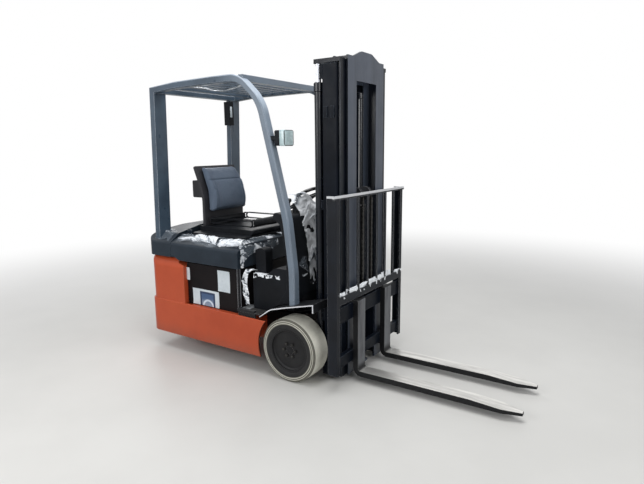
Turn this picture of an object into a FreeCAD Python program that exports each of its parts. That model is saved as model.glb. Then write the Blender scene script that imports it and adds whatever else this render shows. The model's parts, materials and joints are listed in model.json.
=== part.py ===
import FreeCAD, Part
import math
import os
import re

import Sketcher
from FreeCAD import Rotation, Vector

# Three-wheel electric counterbalance forklift.
# x runs forwards to the fork tips, y to the driver's left, z up from the floor.
# Lengths along x are first counted from the front axle. The last step moves
# every piece so that the origin lies under the middle of the whole truck.

doc = FreeCAD.newDocument("Forklift")
sheet = doc.addObject("Spreadsheet::Sheet", "Size")

# Driving dimensions in millimetres and degrees: name, value, what it measures
SIZES = [
    ("body_half", 505, "half the width over the side skirts"),
    ("fork_face", 405, "front axle to the front of the fork shanks"),
    ("fork_length", 1067, "fork blade from shank face to tip"),
    ("fork_width", 100, "width of a fork"),
    ("fork_thick", 38, "thickness of shank and blade heel"),
    ("fork_tip_thick", 18, "blade thickness at the tip"),
    ("fork_taper", 300, "length over which the blade thins to its tip"),
    ("fork_tip_taper", 120, "length over which the tip narrows"),
    ("fork_tip_narrow", 34, "how much each side narrows at the tip"),
    ("fork_spread", 200, "middle plane to the centre of a fork"),
    ("fork_low", 42, "underside of a lowered fork"),
    ("heel_round", 60, "outer radius of the fork heel"),

    ("wheel_radius", 222, "drive tyre outside radius"),
    ("tyre_inset", 5, "skirt's side to the outer face of a drive tyre"),
    ("rim_radius", 154, "seat of the pressed-on drive tyre"),
    ("rim_wall", 14, "rim band thickness"),
    ("disc_set", 26, "tyre's outer face to the wheel disc"),
    ("disc_wall", 16, "wheel disc thickness"),
    ("stud_circle", 48, "radius on which the wheel studs stand"),
    ("stud_hole", 7, "radius of a stud hole"),
    ("axle_radius", 30, "wheel spindle radius"),
    ("drive_neck", 60, "radius of the drive housing where the frame holds it"),
    ("drive_case", 96, "radius of the reduction case inside a drive wheel"),
    ("running_gap", 0.06, "radial play of a shaft in its bore"),
    ("arch_gap", 38, "tyre to the edge of the wheel arch"),

    ("steer_overhang", 270, "rear face of the frame to the steered axle"),
    ("steer_radius", 185, "steered tyre outside radius"),
    ("steer_width", 118, "steered tyre width"),
    ("steer_spread", 76, "middle plane to the centre of a steered tyre"),
    ("steer_rim_radius", 112, "seat of the steered tyre"),
    ("steer_axle", 20, "steered axle pin radius"),
    ("swivel_room", 245, "radius kept free round the steering post"),
    ("turntable", 118, "radius of the steering turntable"),
    ("post_reach", 80, "steering post above the skirt's top"),
    ("post_radius", 40, "steering post radius"),
    ("turn_gap", 6, "height between turntable and the frame above it"),

    ("skirt_low", 128, "underside of the side skirts"),
    ("skirt_top", 400, "top of the side skirts"),
    ("skirt_wall", 18, "skirt plate thickness"),
    ("skirt_edge", 4, "chamfer along the skirt's long edges"),
    ("skirt_front", 150, "front axle back to where the skirt would end"),
    ("corner_round", 85, "rear corner radius seen from above"),
    ("rail_half", 243, "middle plane to the centre of a frame rail"),
    ("rail_wall", 30, "frame rail thickness"),
    ("rail_low", 160, "underside of the frame rails"),
    ("rail_nose", 28, "frame rail in front of the mast pivot's axis"),
    ("rail_hole", 44, "radius of the lightening holes in the frame rails"),
    ("floor_wall", 12, "battery floor plate thickness"),
    ("floor_overlap", 60, "battery floor under the weight's front"),
    ("cross_wall", 25, "frame cross member thickness"),

    ("weight_length", 395, "length of the upper weight"),
    ("weight_inset", 15, "rear face of the frame to that of the upper weight"),
    ("weight_top", 755, "top of the weight"),
    ("weight_step", 57, "height of the sloping step in its top edge"),
    ("weight_step_x", 46, "length of that slope"),
    ("weight_lip", 53, "low flat in front of the slope"),
    ("weight_play", 1, "gap round the lower weights inside the skirts"),
    ("weight_low_gap", 40, "skirt's lower edge to the underside of the lower weights"),
    ("tow_height", 560, "middle of the towing pocket"),
    ("tow_pocket", 64, "towing pocket height and width"),
    ("tow_depth", 72, "towing pocket depth"),
    ("tow_pin_radius", 13, "towing pin hole radius"),
    ("tow_lip", 48, "thickness of the lug that the towing pin passes"),

    ("battery_front", 452, "front axle back to the front of the battery"),
    ("battery_length", 530, "length of the battery"),
    ("battery_play", 8, "battery to the weight behind it"),
    ("battery_inset", 39, "skirt's side to the battery's side"),
    ("battery_top", 722, "top of the battery"),
    ("battery_rim", 14, "wall round the battery's recessed top"),
    ("battery_sunk", 24, "depth of the battery's recessed top"),

    ("hinge_inset", 280, "rear face of the frame to the hood hinge"),
    ("hood_hinge_z", 932, "height of the hood hinge"),
    ("hinge_side", 105, "edge of the flat tops to the middle of a hood hinge"),
    ("hinge_pin", 6, "hood hinge pin radius"),
    ("hinge_lug", 11, "radius of a hinge lug round its pin"),
    ("hinge_wall", 10, "thickness of a hinge lug"),
    ("hinge_ear", 5.7, "half the thickness of the hood's hinge ear"),
    ("hinge_foot", 34, "length of a hinge lug's foot"),
    ("hood_lip", 24, "battery's front to the front edge of the hood"),
    ("hood_low", 739, "underside of the hood's side walls"),
    ("hood_shoulder", 866, "height of the hood's side shoulder"),
    ("hood_top", 906, "height of the hood's flat top"),
    ("deck_inset", 100, "skirt's side to the edge of the flat tops"),
    ("panel_inset", 5, "skirt's side to the side of hood, cover and weight"),
    ("hood_nose", 8, "round of the hood's front edge"),
    ("hood_wall", 20, "hood wall thickness"),
    ("shoulder_round", 22, "radius of the hood's shoulder"),
    ("deck_round", 60, "radius where the hood's slope meets its top"),
    ("cover_top", 930, "rear cover where its slope ends"),
    ("crown_top", 972, "top of the rear cover's crown"),
    ("crown_half", 170, "half the width of the crown's top"),
    ("panel_gap", 5, "gap between panels that part"),
    ("slot_gap", 2, "rear pillar to the slot in the rear cover"),

    ("guard_inset", 33, "skirt's side to the outside of the guard pillars"),
    ("pillar_wide", 62, "front pillar width across the truck"),
    ("pillar_deep", 48, "front pillar depth along the truck"),
    ("pillar_edge", 7, "chamfer along the edges of the guard's side frames"),
    ("rear_pillar_wide", 112, "rear pillar width across the truck"),
    ("rear_pillar_deep", 50, "rear pillar depth along the truck"),
    ("pillar_inset", 78, "rear face of the frame to the foot of the rear pillar"),
    ("pillar_wall", 6, "rear pillar wall thickness"),
    ("rear_pillar_lean", 42, "how far the rear pillar leans forwards"),
    ("guard_top", 2071, "highest point of the overhead guard"),
    ("guard_rear_drop", 30, "how much lower the roof is at the rear"),
    ("roof_depth", 48, "depth of the roof side rails"),
    ("roof_bars", 7, "bars across the roof"),
    ("roof_bar_rear", 1008, "front axle back to the rearmost roof bar"),
    ("roof_bar_pitch", 92, "spacing of the roof bars"),
    ("roof_bar_wide", 34, "width of a roof bar"),
    ("roof_bar_thick", 12, "thickness of a roof bar"),
    ("roof_bar_drop", 40, "roof's top to the underside of its bars"),
    ("roof_bend", 385, "front axle back to where the roof bends down"),
    ("brow_x", 195, "front axle back to the top of the front pillar"),
    ("brow_z", 1893, "height of the top of the front pillar"),
    ("knee_x", 5, "front axle to the front pillar's upper bend"),
    ("knee_z", 1110, "height of the front pillar's upper bend"),
    ("shin_z", 760, "height of the front pillar's lower bend"),
    ("pillar_front", 44, "front axle to the front of the pillar's foot"),
    ("header_wide", 40, "width of the guard's middle cross pieces"),

    ("mast_rear", 180, "front axle to the rear face of the outer rails"),
    ("mast_half", 322, "half the width over the outer rails"),
    ("rail_depth", 110, "depth of every mast rail"),
    ("rail_flange", 12, "mast rail flange thickness"),
    ("rail_web", 10, "mast rail web thickness"),
    ("outer_flange", 54, "flange width of the outer rails"),
    ("inner_flange", 26, "middle rail's flange inside its web"),
    ("window_half", 136, "middle plane to the inner edge of the inner rails"),
    ("stage_gap", 6, "clearance between nested mast rails"),
    ("mast_foot", 34, "underside of the mast rails"),
    ("mast_top", 2096, "top of the outer rails"),
    ("stage_rise", 26, "how far each inner stage stands above the next"),
    ("crown_low", 2000, "underside of the inner rails' head plate"),
    ("crown_high", 2190, "top of the inner rails' head plate"),
    ("crown_flat", 70, "half the level part of the head plate's top"),
    ("tie_wall", 14, "thickness of the mast cross ties"),
    ("pivot_x", 128, "front axle to the mast pivot"),
    ("pivot_z", 196, "height of the mast pivot"),
    ("pin_reach", 28, "how far the mast pins stand inside the frame rails"),
    ("pivot_radius", 20, "mast pivot pin radius"),
    ("lift_x", 136, "front axle to the lift cylinder axis"),
    ("lift_half", 294, "middle plane to the lift cylinder axis"),
    ("lift_foot", 130, "height of the foot of the lift cylinders"),
    ("hose_near", 60, "middle plane to the channel for the hoses"),
    ("hose_wide", 80, "width of that channel"),
    ("hose_deep", 11, "depth of that channel"),
    ("middle_tie", 1180, "height of the outer rails' middle cross tie"),
    ("lift_barrel", 27, "lift cylinder outside radius"),
    ("lift_rod", 18, "lift cylinder rod radius"),
    ("lift_top", 1988, "top of the lift cylinder barrels"),
    ("free_x", 282, "front axle to the free lift cylinder axis"),
    ("free_barrel", 36, "free lift cylinder outside radius"),
    ("free_rod", 24, "free lift rod radius"),
    ("free_top", 1190, "top of the free lift barrel"),
    ("free_stroke", 700, "stroke of the free lift rod"),
    ("bore_gap", 3, "oil space round a cylinder's rod"),
    ("gland", 4, "how much wider a cylinder's gland is"),
    ("sheave_radius", 44, "chain sheave radius"),
    ("sheave_half", 15, "half the width of a chain sheave"),
    ("chain_half", 62, "middle plane to the centre of a lift chain"),
    ("chain_wide", 22, "lift chain width over its outer plates"),
    ("chain_inner", 14, "lift chain width over its inner plates"),
    ("chain_core", 6, "lift chain width over its middle plates"),
    ("chain_thick", 14, "height of a lift chain's plates"),
    ("chain_pitch", 19, "spacing of a lift chain's pins"),

    ("carriage_half", 460, "half the width of the carriage bars"),
    ("bar_thick", 32, "carriage bar thickness"),
    ("low_bar_z", 153, "underside of the lower carriage bar"),
    ("low_bar_high", 76, "height of the lower carriage bar"),
    ("top_bar_z", 455, "underside of the upper carriage bar"),
    ("top_bar_high", 105, "height of the upper carriage bar"),
    ("tongue", 16, "height and thickness of the tongues that the fork hooks grip"),
    ("rest_clear", 10, "end of the carriage bars to the backrest's side angles"),
    ("chain_lug", 30, "height of the chain lugs over the upper bar"),
    ("latch_high", 16, "height of a fork's latch over its hook"),
    ("hook_wall", 14, "thickness of a fork hook"),
    ("hook_play", 1.5, "fork hook to the tongue it grips"),
    ("side_plate", 16, "thickness of the carriage roller plates"),
    ("plate_clear", 7, "roller plate to the inner rail's flange"),
    ("roller_play", 0.3, "play between a mast roller and the flanges it runs between"),
    ("roller_wide", 24, "width of a mast roller"),
    ("roller_stub", 16, "radius of a roller's stub axle"),
    ("rest_top", 1286, "top of the load backrest"),
    ("rest_post", 40, "width of the backrest's side angles"),
    ("rest_thick", 12.5, "thickness of the backrest's bars and angles"),
    ("rest_deep", 68, "depth of the backrest's side angles"),
    ("rest_rail", 24, "height of the backrest top bar"),
    ("rest_foot", 54, "height of the backrest's lower bar"),
    ("rest_bars", 6, "upright bars in the backrest"),
    ("rest_bar_wide", 22, "width of an upright bar"),
    ("rest_reach", 506, "half the length of the backrest top bar"),

    ("tilt_rear_x", 215, "front axle back to the tilt cylinder's rear pin"),
    ("tilt_rear_z", 372, "height of the tilt cylinder's rear pin"),
    ("tilt_front_x", 138, "front axle to the tilt cylinder's mast pin"),
    ("tilt_front_z", 470, "height of the tilt cylinder's mast pin"),
    ("tilt_half", 190, "middle plane to the tilt cylinder axis"),
    ("tilt_barrel", 28, "tilt cylinder outside radius"),
    ("tilt_rod", 12, "tilt rod radius"),
    ("tilt_barrel_length", 230, "tilt cylinder barrel length"),
    ("tilt_pin", 11, "tilt cylinder pin radius"),
    ("tilt_eye", 12, "wall of a tilt cylinder eye round its pin"),
    ("eye_half", 14, "half the width of a tilt cylinder eye"),
    ("eye_drift", 2.5, "play of the rod eye over its pin"),

    ("step_z", 440, "top of the floor plate"),
    ("step_wall", 8, "floor plate thickness"),
    ("step_end", 290, "front axle back to the front end of the step edges"),
    ("step_edge", 16, "height of the step edges"),
    ("floor_front", 196, "front axle back to the front edge of the floor"),
    ("fender_clear", 2, "drive tyre's inner face to the inner edge of a fender"),
    ("mast_clear", 6, "inner edge of a fender to the side of the mast"),
    ("fender_wall", 7, "fender plate thickness"),
    ("fender_rise", 78, "fender over the tyre at the axle"),
    ("fender_climb", 52, "how much the fender climbs from the axle to its front end"),
    ("seat_gap", 0.3, "play where one bolted piece sits on another"),
    ("cowl_top", 1130, "top edge of the cowl"),
    ("console_top", 700, "top of the side console"),
    ("console_rear", 372, "front axle back to the rear of the side console"),
    ("panel_half", 250, "half the width of the recess in the cowl's front"),
    ("console_wide", 102, "width of the side console"),
    ("console_side", 7.7, "end of the cowl to the outer side of the side console"),
    ("pod_front", 278, "front axle back to the front of the lever pod"),
    ("pod_round", 34, "round of the lever pod's top"),
    ("pod_top", 880, "top of the lever pod on the side console"),
    ("hand_wheel_x", 222, "front axle back to the centre of the hand wheel"),
    ("hand_wheel_z", 1208, "height of the centre of the hand wheel"),
    ("column_lean", 32, "lean of the steering column in degrees"),
    ("hand_wheel", 150, "hand wheel radius to the middle of its rim"),
    ("hand_rim", 13, "hand wheel rim thickness radius"),
    ("hand_hub", 30, "hand wheel hub radius"),
    ("column_length", 250, "steering column below the hand wheel"),
    ("column_radius", 24, "steering column radius"),
    ("levers", 4, "control levers on the cowl"),
    ("lever_side", 213.7, "end of the cowl to the innermost control lever"),
    ("lever_pitch", 42, "spacing of the control levers"),
    ("lever_radius", 5, "control lever radius"),
    ("knob_radius", 14, "control lever knob radius"),

    ("seat_half", 240, "half the width of the seat"),
    ("seat_set", 135, "hood hinge to the rear of the seat cushion"),
    ("seat_deep", 485, "depth of the seat cushion"),
    ("seat_deck", 934, "top of the black deck round the seat"),
    ("seat_deck_side", 63, "edge of the flat tops to the edge of that deck"),
    ("seat_base_z", 975, "underside of the seat cushion"),
    ("seat_cushion_z", 1052, "top of the seat cushion"),
    ("seat_back_top", 1452, "top of the seat back"),
    ("seat_back_inset", 16, "seat's side to the side of its back"),
    ("soft_gap", 0.4, "gap round a soft pad"),
    ("seat_shell", 24, "thickness of the shell behind the seat back"),
    ("case_low", 1186, "underside of the case behind the seat"),
    ("case_high", 140, "height of the case behind the seat"),
    ("case_half", 130, "half the width of the case behind the seat"),

    ("lamp_z", 1644, "height of the head lamps"),
    ("lamp_size", 100, "height and width of a head lamp"),
    ("lamp_deep", 80, "depth of a head lamp"),
    ("lamp_front", 12, "front axle back to the front of a head lamp"),
    ("lamp_recess", 6, "depth of the lamp's front recess"),
    ("lamp_rim", 7, "rim round the lamp's front recess"),
    ("box_low", 1785, "underside of the box on the left rear pillar"),
    ("box_high", 200, "height of that box"),
    ("box_wide", 54, "width of that box"),
    ("box_deep", 65, "depth of that box"),
]

# Places worked out from those dimensions, counted back from the front axle or out from the middle
PLACES = {
    "battery_rear": "(battery_front + battery_length)",
    "weight_front": "(battery_rear + battery_play)",
    "weight_rear": "(weight_front + weight_length)",
    "rear_reach": "(weight_rear + weight_inset)",
    "steer_axle_x": "(rear_reach - steer_overhang)",
    "hood_hinge_x": "(rear_reach - hinge_inset)",
    "rear_pillar_x": "(rear_reach - pillar_inset)",
    "hood_front": "(battery_front - hood_lip)",
    "seat_rear": "(hood_hinge_x - seat_set)",
    "seat_front": "(seat_rear - seat_deep)",
    "hood_half": "(body_half - panel_inset)",
    "deck_half": "(body_half - deck_inset)",
    "guard_half": "(body_half - guard_inset)",
    "battery_half": "(body_half - battery_inset)",
    "tyre_outer": "(body_half - tyre_inset)",
    "fender_inner": "(mast_half + mast_clear)",
    "tyre_width": "(tyre_outer - fender_inner - fender_clear)",
    "cowl_half": "(guard_half - pillar_wide - seat_gap)",
    "console_outer": "(cowl_half - console_side)",
    "console_inner": "(console_outer - console_wide)",
    "lever_y": "(cowl_half - lever_side)",
    "hinge_half": "(deck_half - hinge_side)",
    "seat_deck_half": "(deck_half - seat_deck_side)",
    "side_plate_y": "(window_half - plate_clear - side_plate / 2)",
    "side_line": "(body_half - skirt_wall)",
    "top_bar_top": "(top_bar_z + top_bar_high)",
    "bar_rear": "(fork_face - fork_thick - bar_thick)",
    "shank_rear": "(fork_face - fork_thick)",
    "sheave_z": "(free_top + 30 + sheave_radius)",
}
for row, (alias, value, meaning) in enumerate(SIZES, start=1):
    sheet.set(f"A{row}", meaning)
    sheet.set(f"B{row}", str(value))
    sheet.setAlias(f"B{row}", alias)
doc.recompute()

ALIASES = re.compile(r"\b(" + "|".join(row[0] for row in SIZES) + r")\b")
DERIVED = re.compile(r"\b(" + "|".join(PLACES) + r")\b")
PLANES = {"XY": ("XY_Plane", 1), "XZ": ("XZ_Plane", -1), "YZ": ("YZ_Plane", 1)}
TURNS = {"X": Rotation(Vector(0, 1, 0), 90), "Y": Rotation(Vector(1, 0, 0), -90), "Z": Rotation()}
NODES = []


def formula(text):
    """Write sizes, places or a sum of them as an expression on the sheet."""
    text = str(text)
    while DERIVED.search(text):
        text = DERIVED.sub(lambda found: PLACES[found.group(1)], text)
    return ALIASES.sub(r"Size.\1", text)


def size(text):
    """Work out such a formula as a number."""
    return float(sheet.evalExpression(formula(text)))


def bind(thing, name, text):
    thing.setExpression(name, formula(text))


def bind_place(thing, x, y, z, turn=None):
    if turn is not None:
        thing.Placement = FreeCAD.Placement(Vector(), turn)
    for axis, text in zip("xyz", (x, y, z)):
        bind(thing, "Placement.Base." + axis, text)


def box(x, y, z, name="Block"):
    """A block between two formulas along each axis."""
    block = doc.addObject("Part::Box", name)
    for side, span in zip(("Length", "Width", "Height"), (x, y, z)):
        bind(block, side, f"({span[1]}) - ({span[0]})")
    bind_place(block, x[0], y[0], z[0])
    return block


def rod(axis, centre, span, radius, name="Rod"):
    """A cylinder along an axis: its centre in the other two axes, its span and radius."""
    solid = doc.addObject("Part::Cylinder", name)
    bind(solid, "Radius", radius)
    bind(solid, "Height", f"({span[1]}) - ({span[0]})")
    place = list(centre)
    place.insert("XYZ".index(axis), span[0])
    bind_place(solid, *place, turn=TURNS[axis])
    return solid


def joined(pieces, name="Joined"):
    result = doc.addObject("Part::MultiFuse", name)
    result.Shapes = pieces
    return result


def cut_from(base, tools, name="Trimmed"):
    result = doc.addObject("Part::Cut", name)
    result.Base = base
    result.Tool = tools[0] if len(tools) == 1 else joined(tools)
    return result


def together(pieces, name="Group"):
    """Like pieces that don't touch, kept as one sub-part."""
    group = doc.addObject("Part::Compound", name)
    group.Links = pieces
    return group


def mirrored(piece, name="Mirrored"):
    """The same piece on the other side of the middle plane."""
    twin = doc.addObject("Part::Mirroring", name)
    twin.Source = piece
    twin.Normal = Vector(0, 1, 0)
    return twin


def both_sides(piece):
    return together([piece, mirrored(piece)])


def body(name="Body"):
    return doc.addObject("PartDesign::Body", name)


def corner_arc(before, corner, after, radius):
    """The tangent points of a rounded corner and its arc's centre."""
    back = (before - corner).normalize()
    ahead = (after - corner).normalize()
    half = back.getAngle(ahead) / 2
    reach = radius / math.tan(half)
    centre = corner + (back + ahead).normalize() * (radius / math.sin(half))
    return corner + back * reach, corner + ahead * reach, centre


def draw_loop(sketch, points):
    """A closed outline of (across, up) or (across, up, corner radius) formulas."""
    spots = [Vector(size(p[0]), size(p[1]), 0) for p in points]
    rounds = [p[2] if len(p) > 2 else None for p in points]
    count = len(points)
    starts, ends, centres = [], [], []
    for i, corner in enumerate(spots):
        if rounds[i] is None:
            starts.append(corner)
            ends.append(corner)
            centres.append(None)
        else:
            first, last, centre = corner_arc(spots[i - 1], corner, spots[(i + 1) % count], size(rounds[i]))
            starts.append(first)
            ends.append(last)
            centres.append(centre)
    lines = [sketch.addGeometry(Part.LineSegment(ends[i], starts[(i + 1) % count])) for i in range(count)]
    for i in range(count):
        before, after = lines[i - 1], lines[i]
        if rounds[i] is None:
            sketch.addConstraint(Sketcher.Constraint("Coincident", before, 2, after, 1))
            pin_point(sketch, after, 1, points[i], spots[i])
            continue
        circle = Part.Circle(centres[i], Vector(0, 0, 1), size(rounds[i]))
        first, last = circle.parameter(starts[i]), circle.parameter(ends[i])
        clockwise = (last - first) % (2 * math.pi) > math.pi
        if clockwise:
            first, last = last, first
        arc = sketch.addGeometry(Part.ArcOfCircle(circle, first, last))
        sketch.addConstraint(Sketcher.Constraint("Tangent", before, 2, arc, 2 if clockwise else 1))
        sketch.addConstraint(Sketcher.Constraint("Tangent", after, 1, arc, 1 if clockwise else 2))
        bend = sketch.addConstraint(Sketcher.Constraint("Radius", arc, size(rounds[i])))
        sketch.setExpression(f"Constraints[{bend}]", formula(rounds[i]))
        mark = sketch.addGeometry(Part.Point(spots[i]), True)
        sketch.addConstraint(Sketcher.Constraint("PointOnObject", mark, 1, before))
        sketch.addConstraint(Sketcher.Constraint("PointOnObject", mark, 1, after))
        pin_point(sketch, mark, 1, points[i], spots[i])


def pin_point(sketch, item, end, texts, spot):
    """Hold one point of a sketch at its two formulas."""
    for kind, text, value in zip(("DistanceX", "DistanceY"), texts, (spot.x, spot.y)):
        held = sketch.addConstraint(Sketcher.Constraint(kind, -1, 1, item, end, value))
        sketch.setExpression(f"Constraints[{held}]", formula(text))


def draw_circle(sketch, across, up, radius):
    spot = Vector(size(across), size(up), 0)
    ring = sketch.addGeometry(Part.Circle(spot, Vector(0, 0, 1), size(radius)))
    pin_point(sketch, ring, 3, (across, up), spot)
    held = sketch.addConstraint(Sketcher.Constraint("Radius", ring, size(radius)))
    sketch.setExpression(f"Constraints[{held}]", formula(radius))


def drawn(owner, plane, loops, offset):
    """A sketch of closed loops on a plane of the body, moved along the plane's normal."""
    role, way = PLANES[plane]
    sketch = owner.newObject("Sketcher::SketchObject", "Outline")
    sketch.AttachmentSupport = [(next(f for f in owner.Origin.OriginFeatures if f.Role == role), "")]
    sketch.MapMode = "FlatFace"
    bind(sketch, "AttachmentOffset.Base.z", f"{way} * ({offset})")
    for loop in loops:
        if isinstance(loop, tuple):
            draw_circle(sketch, *loop)
        else:
            draw_loop(sketch, loop)
    return sketch


def pad(owner, plane, loops, low, high):
    """Extrude loops from one formula to another along the plane's axis."""
    feature = owner.newObject("PartDesign::Pad", "Pad")
    feature.Profile = drawn(owner, plane, loops, low if PLANES[plane][1] > 0 else high)
    bind(feature, "Length", f"({high}) - ({low})")
    return owner


def pocket(owner, plane, loops, low, high):
    """Cut loops away from one formula to another along the plane's axis."""
    doc.recompute()
    before = owner.Shape.Volume
    feature = owner.newObject("PartDesign::Pocket", "Pocket")
    feature.Profile = drawn(owner, plane, loops, high if PLANES[plane][1] > 0 else low)
    feature.Type = "Length"
    bind(feature, "Length", f"({high}) - ({low})")
    doc.recompute()
    if owner.Shape.Volume > before - 1:
        raise RuntimeError("a pocket cut nothing in " + owner.Name)
    return owner


def soften(owner, radius, chosen, kind="PartDesign::Fillet"):
    """Round or chamfer the edges of a body that a test picks by their middle and direction."""
    doc.recompute()
    names = []
    for index, edge in enumerate(owner.Shape.Edges, start=1):
        start, end = edge.firstVertex().Point, edge.lastVertex().Point
        if chosen(edge.CenterOfMass, end - start):
            names.append(f"Edge{index}")
    feature = owner.newObject(kind, "Softened")
    feature.Base = (owner.Tip if owner.Tip != feature else feature.BaseFeature, names)
    bind(feature, "Radius" if kind.endswith("Fillet") else "Size", radius)
    owner.Tip = feature
    return owner


def turned(points, plane="XY", name="Turned"):
    """A ring or disc of (radius, along) points, turned about y, or about z on the XZ plane."""
    owner = body(name)
    feature = owner.newObject("PartDesign::Revolution", "Revolution")
    sketch = drawn(owner, plane, [points], "0")
    feature.Profile = sketch
    feature.ReferenceAxis = (sketch, ["V_Axis"])
    feature.Angle = 360
    return owner


def moved(piece, x, y, z, name="Moved"):
    """A copy of a piece's shape at another place."""
    link = doc.addObject("Part::Compound", name)
    link.Links = [piece]
    bind_place(link, x, y, z)
    return link


def node(piece, label):
    """Name a finished sub-part and move it to the truck's own origin."""
    piece = together([piece], "Part")
    piece.Label = label
    bind(piece, "Placement.Base.x", "(rear_reach - fork_face - fork_length) / 2")
    NODES.append(piece)
    return piece



def repeated(owner, way, count, pitch):
    """Repeat a body's last feature along one of its own axes, evenly by a pitch."""
    source = owner.Tip
    feature = owner.newObject("PartDesign::LinearPattern", "Repeated")
    feature.Originals = [source]
    feature.Direction = (next(f for f in owner.Origin.OriginFeatures if f.Role == way), [""])
    bind(feature, "Occurrences", count)
    bind(feature, "Length", f"(({count}) - 1) * ({pitch})")
    owner.Tip = feature
    return owner


SIDES = (-1, 1)

# Frame: one skirt of plate round the sides and rear, floor, rails and mast lugs
frame = body("Frame")
pad(frame, "XY", [[
    ("-rear_reach", "-body_half", "corner_round"), ("-skirt_front", "-body_half"),
    ("-skirt_front", "-side_line"), ("-rear_reach + skirt_wall", "-side_line", "corner_round - skirt_wall"),
    ("-rear_reach + skirt_wall", "side_line", "corner_round - skirt_wall"), ("-skirt_front", "side_line"),
    ("-skirt_front", "body_half"), ("-rear_reach", "body_half", "corner_round")]], "skirt_low", "skirt_top")
pocket(frame, "XZ", [("0", "wheel_radius", "wheel_radius + arch_gap")], "-body_half - 1", "body_half + 1")
soften(frame, "skirt_edge", lambda middle, way: abs(way.z) < 1 and abs(abs(middle.y) - size("body_half")) < 1
       and (abs(middle.z - size("skirt_low")) < 1 or abs(middle.z - size("skirt_top")) < 1),
       "PartDesign::Chamfer")

floor = body("BatteryFloor")
pad(floor, "XY", [[
    ("-weight_front + floor_overlap", "-side_line"), ("-battery_front + 40", "-side_line"),
    ("-battery_front + 40", "side_line"), ("-weight_front + floor_overlap", "side_line")]],
    "skirt_top - floor_wall", "skirt_top")
pocket(floor, "XY", [("-steer_axle_x", "0", "swivel_room")], "skirt_top - floor_wall - 1", "skirt_top + 1")

cross = box(("-battery_front - cross_wall", "-battery_front"), ("-side_line", "side_line"),
            ("rail_low", "skirt_top - floor_wall"))

rail = body("FrameRail")
pad(rail, "XZ", [[
    ("-battery_front", "rail_low"), ("0", "rail_low", "60"), ("pivot_x", "pivot_z - 38", "20"),
    ("pivot_x + rail_nose", "pivot_z - 20", "12"), ("pivot_x + rail_nose", "pivot_z + 26", "20"),
    ("pivot_x - 20", "pivot_z + 60", "30"), ("0", "skirt_top - 20", "60"),
    ("-tilt_rear_x + 60", "skirt_top"), ("-battery_front", "skirt_top")]],
    "rail_half - rail_wall / 2", "rail_half + rail_wall / 2")
pocket(rail, "XZ", [("0", "wheel_radius", "drive_neck + seat_gap"),
                    ("-battery_front / 2 - 60", "(rail_low + skirt_top) / 2", "rail_hole"),
                    ("-battery_front + 90", "(rail_low + skirt_top) / 2", "rail_hole")],
       "rail_half - rail_wall", "rail_half + rail_wall")
pivot_pin = rod("Y", ("pivot_x", "pivot_z"), ("rail_half - rail_wall / 2 - pin_reach", "rail_half"), "pivot_radius")
tilt_pin = rod("Y", ("-tilt_rear_x", "tilt_rear_z"), ("tilt_half - eye_half - 2", "rail_half"), "tilt_pin")
side_frame = joined([rail, pivot_pin, tilt_pin])
node(joined([frame, floor, cross, side_frame, mirrored(side_frame)]), "chassis_frame")

# Counterweight: an upper casting with a sloping step, and lower weights round the steered wheels
weight = body("Weight")
pad(weight, "XZ", [[
    ("-weight_rear", "skirt_top + seat_gap"), ("-weight_front", "skirt_top + seat_gap"),
    ("-weight_front", "weight_top - weight_step"),
    ("-weight_front - weight_lip", "weight_top - weight_step + 12"),
    ("-weight_front - weight_lip - weight_step_x", "weight_top"), ("-weight_rear", "weight_top", "20")]],
    "-hood_half", "hood_half")
soften(weight, "corner_round", lambda middle, way: middle.x < -size("weight_rear") + 5
       and abs(way.z) > 100 and abs(way.x) + abs(way.y) < 1)
low_weight = body("LowWeight")
pad(low_weight, "XY", [[
    ("-rear_reach + skirt_wall + weight_play", "-side_line + weight_play", "corner_round - skirt_wall"),
    ("-weight_front + floor_overlap - 2", "-side_line + weight_play"),
    ("-weight_front + floor_overlap - 2", "side_line - weight_play"),
    ("-rear_reach + skirt_wall + weight_play", "side_line - weight_play", "corner_round - skirt_wall")]],
    "skirt_low + weight_low_gap", "skirt_top - floor_wall - weight_play")
low_weight_well = rod("Z", ("-steer_axle_x", "0"), ("skirt_low", "skirt_top + 1"), "swivel_room")
weight_neck = body("WeightNeck")
pad(weight_neck, "XY", [[
    ("-weight_rear + 12", "-side_line + 20", "corner_round"), ("-weight_front - 2", "-side_line + 20"),
    ("-weight_front - 2", "side_line - 20"), ("-weight_rear + 12", "side_line - 20", "corner_round")]],
    "skirt_top - floor_wall - weight_play", "skirt_top + 1")
tow_cut = box(("-weight_rear - 1", "-weight_rear + tow_depth"), ("-tow_pocket / 2", "tow_pocket / 2"),
              ("tow_height - tow_pocket / 2", "tow_height + tow_pocket / 2"))
pin_recess = box(("-weight_rear - 1", "-weight_rear + tow_depth"), ("-tow_pocket / 2", "tow_pocket / 2"),
                 ("tow_height + tow_pocket / 2 + tow_lip", "tow_height + tow_pocket * 3 / 2 + tow_lip"))
tow_bore = rod("Z", ("-weight_rear + tow_depth / 2", "0"),
               ("tow_height - tow_pocket", "tow_height + tow_pocket / 2 + tow_lip + 1"), "tow_pin_radius")
post_bore = rod("Z", ("-steer_axle_x", "0"), ("skirt_low", "skirt_top + post_reach + turn_gap"),
                "post_radius + running_gap")
node(cut_from(joined([weight, cut_from(joined([low_weight, weight_neck]), [low_weight_well])]),
              [tow_cut, pin_recess, tow_bore, post_bore]), "counterweight")

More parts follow.
